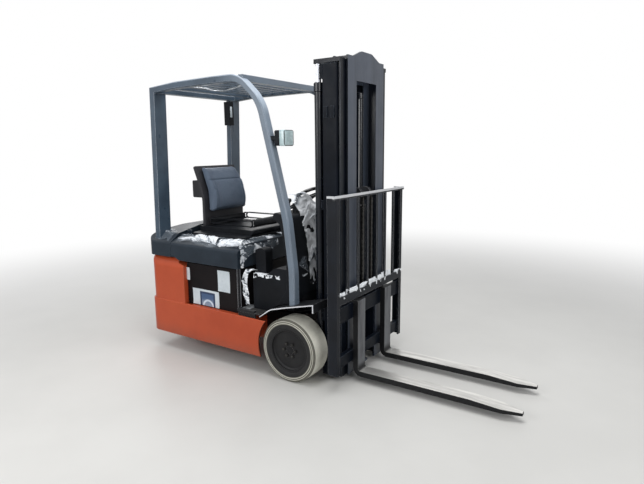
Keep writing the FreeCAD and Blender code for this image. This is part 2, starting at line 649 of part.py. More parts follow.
# Rear cover over the weight: a crowned top, rounded rear corners and a slot for each rear pillar
cover = body("RearCover")
pad(cover, "YZ", [[
    ("-hood_half", "weight_top + seat_gap"), ("hood_half", "weight_top + seat_gap"),
    ("hood_half", "hood_shoulder", "shoulder_round"), ("deck_half", "cover_top", "deck_round"),
    ("crown_half", "crown_top", "deck_round * 3"), ("-crown_half", "crown_top", "deck_round * 3"),
    ("-deck_half", "cover_top", "deck_round"), ("-hood_half", "hood_shoulder", "shoulder_round")]],
    "-rear_reach", "-hood_hinge_x - panel_gap")
cover_side = body("CoverSide")
pad(cover_side, "XZ", [[
    ("-weight_rear - 4", "weight_top + seat_gap"), ("-hood_hinge_x", "weight_top + seat_gap"),
    ("-hood_hinge_x", "crown_top + 1"), ("-rear_reach + 90", "crown_top + 1", "160"),
    ("-rear_reach + 8", "cover_top - 20", "40"), ("-rear_reach", "cover_top - 90", "60")]],
    "-hood_half - 1", "hood_half + 1")
cover_corner = body("CoverCorner")
pad(cover_corner, "XY", [[
    ("-rear_reach - 1", "-hood_half - 1", "corner_round"), ("-hood_hinge_x", "-hood_half - 1"),
    ("-hood_hinge_x", "hood_half + 1"), ("-rear_reach - 1", "hood_half + 1", "corner_round")]],
    "weight_top - 1", "crown_top + 2")
rounded_cover = doc.addObject("Part::MultiCommon", "RoundedCover")
rounded_cover.Shapes = [cover, cover_side, cover_corner]
slots = [box(("-rear_pillar_x - slot_gap", "-rear_pillar_x + rear_pillar_deep + 12"),
             (f"{side} * (guard_half - rear_pillar_wide / 2) - rear_pillar_wide / 2 - slot_gap",
              f"{side} * (guard_half - rear_pillar_wide / 2) + rear_pillar_wide / 2 + slot_gap"),
             ("weight_top - 1", "crown_top + 1")) for side in SIDES]


def hinge_plate(way, foot, inner, outer):
    """A hinge lug or ear: a round end at the hinge line and a foot on its panel, ahead or behind."""
    owner = body("HingePlate")
    pad(owner, "XZ", [[
        (f"-hood_hinge_x + {way} * hinge_foot", foot),
        (f"-hood_hinge_x + {way} * hinge_foot", "hood_hinge_z + hinge_lug", "6"),
        (f"-hood_hinge_x - {way} * hinge_lug", "hood_hinge_z + hinge_lug", "hinge_lug - 2"),
        (f"-hood_hinge_x - {way} * hinge_lug", "hood_hinge_z - hinge_lug", "hinge_lug - 2"),
        (f"-hood_hinge_x + {way} * hinge_foot / 2", foot)]], inner, outer)
    return owner


hinge_lugs = []
for side in SIDES:
    middle = f"{side} * hinge_half"
    for way in SIDES:
        near = f"{middle} + {way} * (hinge_ear + hinge_wall / 2 + seat_gap)"
        hinge_lugs.append(hinge_plate(-1, "cover_top - 20", f"{near} - hinge_wall / 2", f"{near} + hinge_wall / 2"))
    hinge_lugs.append(rod("Y", ("-hood_hinge_x", "hood_hinge_z"),
                          (f"{middle} - hinge_ear - hinge_wall", f"{middle} + hinge_ear + hinge_wall"), "hinge_pin"))
    slots.append(box(("-hood_hinge_x - hinge_lug - panel_gap", "-hood_hinge_x"),
                     (f"{middle} - hinge_ear - seat_gap", f"{middle} + hinge_ear + seat_gap"),
                     ("hood_hinge_z - hinge_lug - panel_gap", "crown_top + 1")))
node(joined([cut_from(rounded_cover, slots)] + hinge_lugs), "rear_cover")

# Battery hood: a shell open below, hinged at its rear top edge
hood = body("Hood")
pad(hood, "YZ", [[
    ("-hood_half", "hood_low"), ("hood_half", "hood_low"), ("hood_half", "hood_shoulder", "shoulder_round"),
    ("deck_half", "hood_top", "deck_round"), ("-deck_half", "hood_top", "deck_round"),
    ("-hood_half", "hood_shoulder", "shoulder_round")]], "-hood_hinge_x", "-hood_front")
soften(hood, "hood_nose", lambda middle, way: abs(middle.x + size("hood_front")) < 1 and middle.z > size("hood_low") + 1)
pocket(hood, "YZ", [[
    ("-hood_half + hood_wall", "hood_low - 1"), ("hood_half - hood_wall", "hood_low - 1"),
    ("hood_half - hood_wall", "hood_shoulder - hood_wall / 2"), ("deck_half - 10", "hood_top - hood_wall"),
    ("-deck_half + 10", "hood_top - hood_wall"),
    ("-hood_half + hood_wall", "hood_shoulder - hood_wall / 2")]],
    "-hood_hinge_x + hood_wall", "-hood_front - hood_wall")
pocket(hood, "XZ", [[
    ("-hood_hinge_x - 1", "hood_low - 1"), ("-weight_front - weight_lip + 8", "hood_low - 1"),
    ("-weight_front - weight_lip - weight_step_x + 6", "weight_top + panel_gap"),
    ("-hood_hinge_x - 1", "weight_top + panel_gap")]], "-hood_half - 1", "hood_half + 1")
hinge_ears = [hinge_plate(1, "hood_top - 8", f"{side} * hinge_half - hinge_ear", f"{side} * hinge_half + hinge_ear")
              for side in SIDES]
hinge_holes = [rod("Y", ("-hood_hinge_x", "hood_hinge_z"),
                   (f"{side} * hinge_half - hinge_ear - 1", f"{side} * hinge_half + hinge_ear + 1"),
                   "hinge_pin + running_gap") for side in SIDES]
node(cut_from(joined([hood] + hinge_ears), hinge_holes), "battery_hood")

# Battery: one steel-cased block with a recessed top
battery = body("Battery")
pad(battery, "XY", [[
    ("-battery_rear", "-battery_half"), ("-battery_front", "-battery_half"),
    ("-battery_front", "battery_half"), ("-battery_rear", "battery_half")]], "skirt_top + seat_gap", "battery_top")
pocket(battery, "XY", [[
    ("-battery_rear + battery_rim", "-battery_half + battery_rim"),
    ("-battery_front - battery_rim", "-battery_half + battery_rim"),
    ("-battery_front - battery_rim", "battery_half - battery_rim"),
    ("-battery_rear + battery_rim", "battery_half - battery_rim")]],
    "battery_top - battery_sunk", "battery_top + 1")
node(battery, "battery")

# Floor plate with its step edges and the light post at the battery's front corner
floor_plate = body("FloorPlate")
floor_rear = "(-battery_front + 4)"
pad(floor_plate, "XY", [[
    (floor_rear, "-body_half + 6"), ("-wheel_radius - 22", "-body_half + 6"),
    ("-wheel_radius - 22", "-fender_inner + 6"), ("-floor_front", "-fender_inner + 6"),
    ("-floor_front", "fender_inner - 6"), ("-wheel_radius - 22", "fender_inner - 6"),
    ("-wheel_radius - 22", "body_half - 6"), (floor_rear, "body_half - 6")]],
    "step_z - step_wall", "step_z")
step_parts = [floor_plate]
for side in SIDES:
    for spot, half, foot, head in (("body_half - 15", 9, "step_z", "step_z + step_edge"),
                                   ("body_half - 20", 5, "skirt_top + seat_gap", "step_z - step_wall")):
        step_parts.append(box((floor_rear, "-step_end"), (f"{side} * ({spot}) - {half}", f"{side} * ({spot}) + {half}"),
                              (foot, head)))
    step_parts.append(box((f"{floor_rear} + 2", f"{floor_rear} + 12"),
                          (f"{side} * (body_half - 24) - 9", f"{side} * (body_half - 24) + 9"),
                          ("step_z + step_edge", "hood_low - panel_gap")))
node(joined(step_parts), "floor_plate")

# Fenders: a bent plate over each drive wheel, with a folded front edge
fender = body("Fender")
fender_end = "(wheel_radius - 9)"
fender_top = "(wheel_radius * 2 + fender_rise)"
pad(fender, "XZ", [[
    ("-wheel_radius - 14", "skirt_top + 22"), ("-wheel_radius + 78", "wheel_radius * 2 + 42", "150"),
    ("-10", fender_top, "120"), (fender_end, f"{fender_top} + fender_climb"),
    (fender_end, f"{fender_top} + fender_climb + fender_wall"), ("-13", f"{fender_top} + fender_wall", "113"),
    ("-wheel_radius + 74", "wheel_radius * 2 + 42 + fender_wall", "157"), ("-wheel_radius - 23", "skirt_top + 22")]],
    "-tyre_outer - 3", "-fender_inner")
fender_fold = box((f"{fender_end} - fender_wall", fender_end), ("-tyre_outer - 3", "-fender_inner"),
                  ("wheel_radius * 2 + fender_rise + 2", f"{fender_top} + fender_climb + 1"))
node(both_sides(joined([fender, fender_fold])), "front_fenders")

# Front cowl: the upright panel between the front pillars, with the dash and its display on top
cowl = body("Cowl")
pad(cowl, "XZ", [[
    ("-110", "step_z + 1"), ("-floor_front + 1", "step_z + 1"), ("-floor_front + 130", "step_z + 180", "120"),
    ("-64", "cowl_top - 250", "200"), ("-112", "cowl_top - 60", "40"), ("-176", "cowl_top - 20", "20"),
    ("-160", "cowl_top + 20", "16"), ("-30", "cowl_top", "26"), ("pillar_front - 40", "cowl_top - 330", "400"),
    ("pillar_front - 20", "step_z + 140", "100"), ("-20", "step_z + 50", "60")]], "-cowl_half", "cowl_half")
pocket(cowl, "XZ", [[
    ("pillar_front - 30", "step_z + 200", "20"), ("pillar_front + 10", "step_z + 200"),
    ("pillar_front + 10", "cowl_top - 130"), ("pillar_front - 70", "cowl_top - 130", "20")]],
    "-panel_half", "panel_half")

# Side console beside the driver, with a pod for the hydraulic levers
console = body("Console")
pad(console, "XZ", [[
    ("-console_rear", "step_z + seat_gap"), ("-70", "step_z + seat_gap"), ("-70", "console_top + 60"),
    ("-170", "console_top + 60", "60"), ("-250", "console_top", "40"), ("-console_rear", "console_top", "26")]],
    "-console_outer", "-console_inner")
pod = body("Pod")
pad(pod, "XZ", [[
    ("-console_rear + 6", "console_top - 4"), ("-pod_front", "console_top - 4"),
    ("-pod_front", "pod_top", "pod_round"), ("-console_rear + 6", "pod_top", "pod_round")]],
    "-console_outer + 30", "-console_inner + 10")
display = body("Display")
pad(display, "YZ", [[
    ("-190", "cowl_top - 10"), ("-90", "cowl_top - 10"), ("-90", "cowl_top + 62", "10"),
    ("-190", "cowl_top + 62", "10")]], "-166", "-124")
pocket(display, "YZ", [[
    ("-182", "cowl_top + 26"), ("-98", "cowl_top + 26"), ("-98", "cowl_top + 54"), ("-182", "cowl_top + 54")]],
    "-167", "-162")
fender_room = body("FenderRoom")
pad(fender_room, "XZ", [[
    ("-wheel_radius - 30", "step_z - 20"), ("-wheel_radius + 66", f"wheel_radius * 2 + 46 + fender_wall", "150"),
    ("-16", f"{fender_top} + fender_wall + 3", "110"), ("wheel_radius", f"{fender_top} + fender_climb + 16"),
    ("wheel_radius", "step_z - 20")]], "-body_half", "-fender_inner + 5")
cowl_shape = cut_from(joined([cowl, console, pod, display]), [fender_room, mirrored(fender_room)])
node(cowl_shape, "front_cowl")

# Overhead guard: two bent side frames, leaning rear pillars, headers front and rear
side_guard = body("SideGuard")
roof_rear = "(-rear_pillar_x + rear_pillar_lean - 4)"
foot_z = "(wheel_radius * 2 + fender_rise + fender_wall + 0.5 + ({x} + 13) * fender_climb / (wheel_radius - 3))"
pad(side_guard, "XZ", [[
    (roof_rear, "guard_top - guard_rear_drop - roof_depth"), (roof_rear, "guard_top - guard_rear_drop", "12"),
    ("-roof_bar_rear", "guard_top - 8", "900"), ("-roof_bend - 255", "guard_top", "900"),
    ("-roof_bend", "guard_top", "220"), ("-brow_x", "brow_z", "320"), ("knee_x", "knee_z", "900"),
    ("pillar_front", "shin_z", "600"), ("pillar_front", foot_z.format(x="pillar_front")),
    ("pillar_front - pillar_deep", foot_z.format(x="(pillar_front - pillar_deep)")),
    ("pillar_front - pillar_deep", "shin_z", "600"), ("knee_x - pillar_deep - 2", "knee_z - 5", "900"),
    ("-brow_x - pillar_deep", "brow_z - 15", "280"), ("-roof_bend - 15", "guard_top - roof_depth", "180"),
    ("-roof_bar_rear", "guard_top - roof_depth - 8", "900")]],
    "guard_half - pillar_wide", "guard_half")
soften(side_guard, "pillar_edge", lambda middle, way: abs(way.y) < 1
       and middle.z > size(foot_z.format(x="pillar_front")) + 20, "PartDesign::Chamfer")
rear_pillar = body("RearPillar")
pillar_head = "(guard_top - guard_rear_drop - 3)"
pad(rear_pillar, "XZ", [[
    ("-rear_pillar_x", "weight_top + seat_gap"), ("-rear_pillar_x + rear_pillar_deep", "weight_top + seat_gap"),
    ("-rear_pillar_x + rear_pillar_deep + rear_pillar_lean", pillar_head),
    ("-rear_pillar_x + rear_pillar_lean", pillar_head)]], "guard_half - rear_pillar_wide", "guard_half")
hollow_pillar = body("HollowPillar")
pad(hollow_pillar, "XZ", [[
    ("-rear_pillar_x + pillar_wall", "weight_top"), ("-rear_pillar_x + rear_pillar_deep - pillar_wall", "weight_top"),
    ("-rear_pillar_x + rear_pillar_deep + rear_pillar_lean - pillar_wall", f"{pillar_head} - 37"),
    ("-rear_pillar_x + rear_pillar_lean + pillar_wall", f"{pillar_head} - 37")]],
    "guard_half - rear_pillar_wide + pillar_wall", "guard_half - pillar_wall")
headers = []
for rear, wide, low, high in ((roof_rear, "60", "guard_rear_drop + roof_depth - 6", "guard_rear_drop + 6"),
                              ("-roof_bend - 8", "header_wide", "roof_depth + 2", "8"),
                              ("-roof_bar_rear - 100", "header_wide", "roof_depth + 4", "18")):
    headers.append(box((rear, f"{rear} + {wide}"), ("-guard_half + 8", "guard_half - 8"),
                       (f"guard_top - ({low})", f"guard_top - ({high})")))
guard_side = joined([side_guard, cut_from(rear_pillar, [hollow_pillar])])
node(joined([guard_side, mirrored(guard_side)] + headers), "overhead_guard")

# Roof bars across the overhead guard
bars = []
for number in range(int(size("roof_bars"))):
    start = f"(-roof_bar_rear + {number} * roof_bar_pitch)"
    bars.append(box((start, f"{start} + roof_bar_wide"),
                    ("-guard_half + pillar_wide + seat_gap", "guard_half - pillar_wide - seat_gap"),
                    ("guard_top - roof_bar_drop", "guard_top - roof_bar_drop + roof_bar_thick")))
node(together(bars), "guard_roof_bars")

# Head lamps in front of the front pillars, each with a rim round its recessed lens
lamp = body("Lamp")
lamp_near = "(-guard_half + 2)"
pad(lamp, "YZ", [[
    (lamp_near, "lamp_z - lamp_size / 2", "14"), (f"{lamp_near} + lamp_size", "lamp_z - lamp_size / 2", "14"),
    (f"{lamp_near} + lamp_size", "lamp_z + lamp_size / 2", "14"), (lamp_near, "lamp_z + lamp_size / 2", "14")]],
    "-lamp_front - lamp_deep", "-lamp_front")
pocket(lamp, "YZ", [[
    (f"{lamp_near} + lamp_rim", "lamp_z - lamp_size / 2 + lamp_rim", "8"),
    (f"{lamp_near} + lamp_size - lamp_rim", "lamp_z - lamp_size / 2 + lamp_rim", "8"),
    (f"{lamp_near} + lamp_size - lamp_rim", "lamp_z + lamp_size / 2 - lamp_rim", "8"),
    (f"{lamp_near} + lamp_rim", "lamp_z + lamp_size / 2 - lamp_rim", "8")]],
    "-lamp_front - lamp_recess", "-lamp_front + 1")
lamp_arm = box(("-brow_x + 35", "-lamp_front - lamp_deep + 10"), ("-guard_half + 14", "-guard_half + 46"),
               ("lamp_z - 14", "lamp_z + 14"))
node(both_sides(cut_from(joined([lamp, lamp_arm]), [mirrored(side_guard)])), "head_lamps")

# Drive unit: motor across the frame, reduction cases inside the wheels, spindles
half_drive = [
    ("axle_radius", "tyre_outer - disc_set + 2"), ("axle_radius", "tyre_outer - 96"),
    ("drive_case", "tyre_outer - 96"), ("drive_case", "rail_half + 20"), ("drive_neck", "rail_half + 20"),
    ("drive_neck", "rail_half - 26"), ("drive_case + 8", "rail_half - 54")]
drive = turned([("0", f"-({half_drive[0][1]})")] + [(across, f"-({along})") for across, along in half_drive]
               + half_drive[::-1] + [("0", half_drive[0][1])])
node(moved(drive, "0", "0", "wheel_radius"), "drive_unit")

# Drive wheels: pressed-on tyres with beads, and flat discs with six stud holes
for side, word in zip(SIDES, ("right", "left")):
    centre = "(tyre_outer - tyre_width / 2)"
    half = "tyre_width / 2"
    tyre = turned([
        ("rim_radius", f"-{half} + 3"), ("rim_radius + 26", f"-{half} + 3"), ("rim_radius + 32", f"-{half}"),
        ("wheel_radius - 8", f"-{half} + 4"), ("wheel_radius", f"-{half} + 16"), ("wheel_radius", f"{half} - 16"),
        ("wheel_radius - 8", f"{half} - 4"), ("rim_radius", f"{half} - 3")])
    node(moved(tyre, "0", f"{side} * {centre}", "wheel_radius"), "front_tyre_" + word)
    rim = turned([
        ("axle_radius + running_gap", f"-{half} + disc_set"), ("rim_radius - rim_wall - 10", f"-{half} + disc_set"),
        ("rim_radius - rim_wall", f"-{half} + disc_set - 6"), ("rim_radius - rim_wall", f"-{half} + 5"),
        ("rim_radius", f"-{half} + 3"), ("rim_radius", f"{half} - 3"),
        ("rim_radius - rim_wall", f"{half} - 5"), ("rim_radius - rim_wall", f"-{half} + disc_set + disc_wall"),
        ("axle_radius + running_gap", f"-{half} + disc_set + disc_wall")])
    holes = [rod("Y", (f"stud_circle * cos({angle})", f"stud_circle * sin({angle})"),
                 (f"-{half} - 1", f"{half} + 1"), "stud_hole") for angle in range(0, 360, 60)]
    rim = cut_from(rim, holes)
    if side > 0:
        rim = mirrored(rim)
    node(moved(rim, "0", f"{side} * {centre}", "wheel_radius"), "front_rim_" + word)

# Steered wheels: turntable and post, then a pair of small tyres on one axle
turntable = body("Turntable")
pad(turntable, "XY", [("0", "0", "turntable")], "skirt_top - turn_gap - 13", "skirt_top - turn_gap + 1")
post = rod("Z", ("0", "0"), ("skirt_top - turn_gap", "skirt_top + post_reach"), "post_radius")
leg = body("Leg")
pad(leg, "XZ", [[
    ("-70", "skirt_top - turn_gap - 10"), ("-34", "steer_radius - 20", "40"), ("-20", "steer_radius - 36", "16"),
    ("20", "steer_radius - 36", "16"), ("34", "steer_radius - 20", "40"), ("70", "skirt_top - turn_gap - 10")]],
    "-11", "11")
steer_half = "(steer_width / 2)"
steer_pin = rod("Y", ("0", "steer_radius"),
                (f"-steer_spread - {steer_half} + 12", f"steer_spread + {steer_half} - 12"), "steer_axle")
steer_set = joined([turntable, post, leg, steer_pin])
node(moved(steer_set, "-steer_axle_x", "0", "0"), "steer_turntable")
rear_tyre = turned([
    ("steer_rim_radius", f"-{steer_half} + 3"), ("steer_radius - 10", f"-{steer_half}"),
    ("steer_radius", f"-{steer_half} + 10"), ("steer_radius", f"{steer_half} - 10"),
    ("steer_radius - 10", steer_half), ("steer_rim_radius", f"{steer_half} - 3")])
rear_rim = turned([
    ("steer_axle + running_gap", "-34"), ("44", "-34"), ("steer_rim_radius - 12", "-6"),
    ("steer_rim_radius - 12", f"-{steer_half} + 6"), ("steer_rim_radius", f"-{steer_half} + 3"),
    ("steer_rim_radius", f"{steer_half} - 3"), ("steer_rim_radius - 12", f"{steer_half} - 6"),
    ("steer_rim_radius - 12", "8"), ("44", "34"), ("steer_axle + running_gap", "34")])
for piece, label in ((rear_tyre, "rear_tyres"), (rear_rim, "rear_rims")):
    pair = together([moved(piece, "-steer_axle_x", f"{side} * steer_spread", "steer_radius") for side in SIDES])
    node(pair, label)


def along_column(piece, name):
    """Stand a piece, made upright at the centre of the hand wheel, along the leaning column."""
    tilted = together([piece], name)
    bind_place(tilted, "-hand_wheel_x", "0", "hand_wheel_z", turn=Rotation(Vector(0, 1, 0), -size("column_lean")))
    return tilted


# Steering column with its boot, and the hand wheel on three spokes
column = turned([
    ("0", "-column_length"), ("52", "-column_length"), ("30", "-90"), ("column_radius", "-90"),
    ("column_radius", "-34"), ("0", "-34")], "XZ")
node(cut_from(along_column(column, "Column"), [cowl_shape]), "steering_column")
wheel_rim = turned([
    (f"hand_wheel + hand_rim * cos({angle})", f"hand_rim * sin({angle})") for angle in range(0, 360, 45)], "XZ")
hub = turned([
    ("0", "-34 + seat_gap"), ("hand_hub - 6", "-34 + seat_gap"), ("hand_hub", "-24"), ("hand_hub", "0"),
    ("hand_hub - 8", "6"), ("0", "6")], "XZ")
spokes = []
for turn in (90, 210, 330):
    spoke = together([box(("-11", "11"), ("hand_hub - 12", "hand_wheel"), ("-8", "2"))])
    spoke.Placement = FreeCAD.Placement(Vector(), Rotation(Vector(0, 0, 1), turn))
    spokes.append(spoke)
node(along_column(joined([wheel_rim, hub] + spokes), "HandWheel"), "steering_wheel")

# Control levers on the cowl, each a stem with a turned knob
lever = turned([
    ("0", "-60"), ("lever_radius", "-60"), ("lever_radius", "84"), ("knob_radius - 4", "86"),
    ("knob_radius", "94"), ("knob_radius", "104"), ("knob_radius - 6", "112"), ("0", "113")], "XZ")
levers = [moved(lever, "-92", f"-lever_y - {number} * lever_pitch", "cowl_top") for number in range(int(size("levers")))]
node(cut_from(together(levers), [cowl_shape]), "control_levers")

# Pedals on arms that come out of the cowl
pedals = []
for across, wide in ((-70, 60), (-190, 76)):
    pedal = body("Pedal")
    pad(pedal, "XZ", [[
        ("-floor_front - 10", "step_z + 36"), ("-floor_front + 48", "step_z + 118"),
        ("-floor_front + 40", "step_z + 124"), ("-floor_front - 18", "step_z + 42")]], f"{across}", f"{across} + {wide}")
    arm = body("PedalArm")
    pad(arm, "XZ", [[
        ("-floor_front + 8", "step_z + 64"), ("-floor_front + 130", "step_z + 90"),
        ("-floor_front + 130", "step_z + 104"), ("-floor_front + 16", "step_z + 76")]],
        f"{across} + {wide} / 2 - 9", f"{across} + {wide} / 2 + 9")
    pedals.append(cut_from(joined([pedal, arm]), [cowl_shape]))
node(together(pedals), "pedals")

# Seat: a deck and base on the hood, the cushion, and the shell that carries the back pad
deck = body("SeatDeck")
pad(deck, "XY", [[
    ("-seat_rear - 70", "-seat_deck_half", "40"), ("-seat_front - 8", "-seat_deck_half", "30"),
    ("-seat_front - 8", "seat_deck_half", "30"), ("-seat_rear - 70", "seat_deck_half", "40")]],
    "hood_top + seat_gap", "seat_deck")
soften(deck, "8", lambda middle, way: abs(middle.z - size("seat_deck")) < 1)
seat_base = body("SeatBase")
pad(seat_base, "XZ", [[
    ("-seat_rear - 60", "seat_deck - 1"), ("-seat_front - 20", "seat_deck - 1"),
    ("-seat_front + 12", "seat_base_z - 8", "10"), ("-seat_front + 12", "seat_base_z"),
    ("-seat_rear - 60", "seat_base_z")]], "-seat_half - 6", "seat_half + 6")
node(joined([deck, seat_base]), "seat_base")
cushion = body("SeatCushion")
pad(cushion, "XZ", [[
    ("-seat_rear", "seat_base_z + soft_gap"), ("-seat_front", "seat_base_z + soft_gap", "24"),
    ("-seat_front", "seat_cushion_z + 10", "34"), ("-seat_rear + 150", "seat_cushion_z - 12", "80"),
    ("-seat_rear", "seat_cushion_z", "30")]], "-seat_half", "seat_half")
node(cushion, "seat_cushion")
shell = body("SeatShell")
pad(shell, "XZ", [[
    ("-seat_rear - 25", "seat_base_z + soft_gap"), ("-seat_rear - 25", "seat_cushion_z + 150", "200"),
    ("-seat_rear - 65", "seat_back_top - 122", "200"), ("-seat_rear - 112", "seat_back_top - 6"),
    ("-seat_rear - 112 - seat_shell", "seat_back_top - 14", "10"),
    ("-seat_rear - 66 - seat_shell", "seat_back_top - 130", "200"),
    ("-seat_rear - 25 - seat_shell", "seat_cushion_z + 140", "200"),
    ("-seat_rear - 28 - seat_shell", "seat_base_z + soft_gap")]],
    "-seat_half + seat_back_inset", "seat_half - seat_back_inset")
rear_case = body("RearCase")
pad(rear_case, "XZ", [[
    ("-seat_rear - 252", "case_low", "12"), ("-seat_rear - 40", "case_low"), ("-seat_rear - 82", "case_low + case_high"),
    ("-seat_rear - 252", "case_low + case_high", "12")]], "-case_half", "case_half")
node(joined([shell, rear_case]), "seat_shell")
back = body("SeatBack")
pad(back, "XZ", [[
    ("-seat_rear - 25 + soft_gap", "seat_cushion_z + 20"), ("-seat_rear + 36", "seat_cushion_z + 24", "24"),
    ("-seat_rear + 62", "seat_cushion_z + 120", "120"), ("-seat_rear + 50", "seat_cushion_z + 205", "160"),
    ("-seat_rear - 40", "seat_back_top - 40", "60"), ("-seat_rear - 70", "seat_back_top", "24"),
    ("-seat_rear - 112 + soft_gap", "seat_back_top - 6"),
    ("-seat_rear - 65 + soft_gap", "seat_back_top - 122", "200"),
    ("-seat_rear - 25 + soft_gap", "seat_cushion_z + 150", "200")]],
    "-seat_half + seat_back_inset", "seat_half - seat_back_inset")
node(back, "seat_back")

# Mast: three nested pairs of rails. Each pair stands one flange forwards and one web inwards
inner_of = {
    "outer": "(mast_half - outer_flange)",
    "middle": "(mast_half - outer_flange - stage_gap - rail_web - inner_flange)",
    "inner": "window_half",
}
outer_of = {
    "outer": "mast_half",
    "middle": "(mast_half - rail_web - stage_gap)",
    "inner": "(mast_half - outer_flange - stage_gap - rail_web - stage_gap)",
}
web_of = {
    "outer": "mast_half",
    "middle": "(mast_half - outer_flange - stage_gap)",
    "inner": "(mast_half - outer_flange - stage_gap - rail_web - inner_flange - stage_gap)",
}
stage_x = {stage: f"(mast_rear + {step} * (rail_flange + stage_gap))" for step, stage in enumerate(inner_of)}
stage_top = {stage: f"(mast_top + {step} * stage_rise)" for step, stage in enumerate(inner_of)}
roller = "(rail_depth / 2 - rail_flange - roller_play)"


def mast_rail(stage):
    """One rolled section: two flanges joined by a web, standing for the stage's full height."""
    x, low, high, web = stage_x[stage], inner_of[stage], outer_of[stage], web_of[stage]
    owner = body("MastRail")
    if stage == "outer":
        loop = [(x, low), (x, high, "8"), (f"{x} + rail_depth", high, "8"), (f"{x} + rail_depth", low),
                (f"{x} + rail_depth - rail_flange", low), (f"{x} + rail_depth - rail_flange", f"{web} - rail_web"),
                (f"{x} + rail_flange", f"{web} - rail_web"), (f"{x} + rail_flange", low)]
    else:
        loop = [(x, low), (x, high), (f"{x} + rail_flange", high), (f"{x} + rail_flange", web),
                (f"{x} + rail_depth - rail_flange", web), (f"{x} + rail_depth - rail_flange", high),
                (f"{x} + rail_depth", high), (f"{x} + rail_depth", low), (f"{x} + rail_depth - rail_flange", low),
                (f"{x} + rail_depth - rail_flange", f"{web} - rail_web"),
                (f"{x} + rail_flange", f"{web} - rail_web"), (f"{x} + rail_flange", low)]
    return pad(owner, "XY", [loop], "mast_foot", stage_top[stage])


def stage_rollers(stage, channel):
    """Rollers on the foot of an inner rail, running between the flanges of the rail round it."""
    return [rod("Y", (f"{stage_x[channel]} + rail_depth / 2", height),
                (f"{web_of[stage]} - 1", f"{outer_of[stage]} - seat_gap"), roller)
            for height in ("mast_foot + 60", "mast_foot + 420")]


def cross_tie(x, wall, half, low, high):
    """A plate joining the two rails of a stage."""
    return box((x, f"{x} + {wall}"), (f"-({half})", half), (low, high))


outer_ties = [cross_tie("(mast_rear - tie_wall)", "tie_wall", "mast_half - 4", low, high) for low, high in (
    ("mast_foot", "pivot_z + 95"), ("tilt_front_z - 50", "tilt_front_z + 50"), ("middle_tie", "middle_tie + 60"),
    ("mast_top - 90", "mast_top"))]
pivot_arm = body("PivotArm")
arm_side = "(rail_half - rail_wall / 2)"
pad(pivot_arm, "XZ", [[
    ("mast_rear", "pivot_z - 60"), ("pivot_x - 30", "pivot_z - 32", "26"), ("pivot_x - 30", "pivot_z + 32", "26"),
    ("mast_rear", "pivot_z + 90")]], f"{arm_side} - pin_reach + 1", f"{arm_side} - 5")
pocket(pivot_arm, "XZ", [("pivot_x", "pivot_z", "pivot_radius + running_gap")], "0", "rail_half")
tilt_ear = body("TiltEar")
pad(tilt_ear, "XZ", [[
    ("mast_rear", "tilt_front_z - 40"), ("tilt_front_x - 18", "tilt_front_z - 18", "16"),
    ("tilt_front_x - 18", "tilt_front_z + 18", "16"), ("mast_rear", "tilt_front_z + 40")]],
    "tilt_half + eye_half + 4", "tilt_half + eye_half + 18")
tilt_front_pin = rod("Y", ("tilt_front_x", "tilt_front_z"),
                     ("tilt_half - eye_half - 2", "tilt_half + eye_half + 5"), "tilt_pin")
cylinder_foot = box(("lift_x - 24", "mast_rear"), ("lift_half - 20", "mast_half - 8"), ("lift_foot - 26", "lift_foot"))
cylinder_clip = box(("lift_x", "mast_rear"), ("lift_half - 16", "lift_half + 16"), ("middle_tie + 10", "middle_tie + 46"))
cable_clips = [box((f"mast_rear + {spot}", f"mast_rear + {spot} + 26"), ("mast_half - 1", "mast_half + 9"),
                   ("mast_top - 330", "mast_top - 260")) for spot in (16, 66)]
hose_channel = body("HoseChannel")
pad(hose_channel, "XY", [[
    ("mast_rear - 1", "hose_near"), ("mast_rear + hose_deep", "hose_near", "3"),
    ("mast_rear + hose_deep", "hose_near + hose_wide", "3"), ("mast_rear - 1", "hose_near + hose_wide"),
    ("mast_rear - 1", "hose_near + hose_wide - 4"), ("mast_rear + hose_deep - 4", "hose_near + hose_wide - 4"),
    ("mast_rear + hose_deep - 4", "hose_near + 4"), ("mast_rear - 1", "hose_near + 4")]],
    "middle_tie", "mast_top - 30")
outer_side = cut_from(joined([mast_rail("outer"), pivot_arm, tilt_ear, tilt_front_pin, cylinder_foot, cylinder_clip]
                             + cable_clips), [rod("Z", ("lift_x", "lift_half"), ("lift_foot", "mast_top"), "lift_barrel")])
node(joined([outer_side, mirrored(outer_side), hose_channel] + outer_ties), "mast_outer")

# Lift cylinders behind the outer rails, and their rods up to the head of the middle stage
head_z = "(mast_top + stage_gap)"
barrel = turned([
    ("0", "lift_foot"), ("lift_barrel", "lift_foot"), ("lift_barrel", "lift_top - 60"),
    ("lift_barrel + gland", "lift_top - 56"), ("lift_barrel + gland", "lift_top - 4"), ("lift_barrel", "lift_top"),
    ("lift_rod + running_gap", "lift_top"), ("lift_rod + running_gap", "lift_top - 50"),
    ("lift_rod + bore_gap", "lift_top - 50"), ("lift_rod + bore_gap", "lift_foot + 24"), ("0", "lift_foot + 24")], "XZ")
node(both_sides(moved(barrel, "lift_x", "lift_half", "0")), "lift_cylinders")
middle_head = body("MiddleHead")
pad(middle_head, "XY", [[
    ("lift_x - 26", "-lift_half - 24", "12"), (f"{stage_x['middle']} + rail_depth", "-lift_half - 24"),
    (f"{stage_x['middle']} + rail_depth", f"-{outer_of['inner']} - stage_gap"),
    (f"{stage_x['inner']} - stage_gap", f"-{outer_of['inner']} - stage_gap"),
    (f"{stage_x['inner']} - stage_gap", f"{outer_of['inner']} + stage_gap"),
    (f"{stage_x['middle']} + rail_depth", f"{outer_of['inner']} + stage_gap"),
    (f"{stage_x['middle']} + rail_depth", "lift_half + 24"), ("lift_x - 26", "lift_half + 24", "12")]],
    head_z, f"{head_z} + stage_rise")
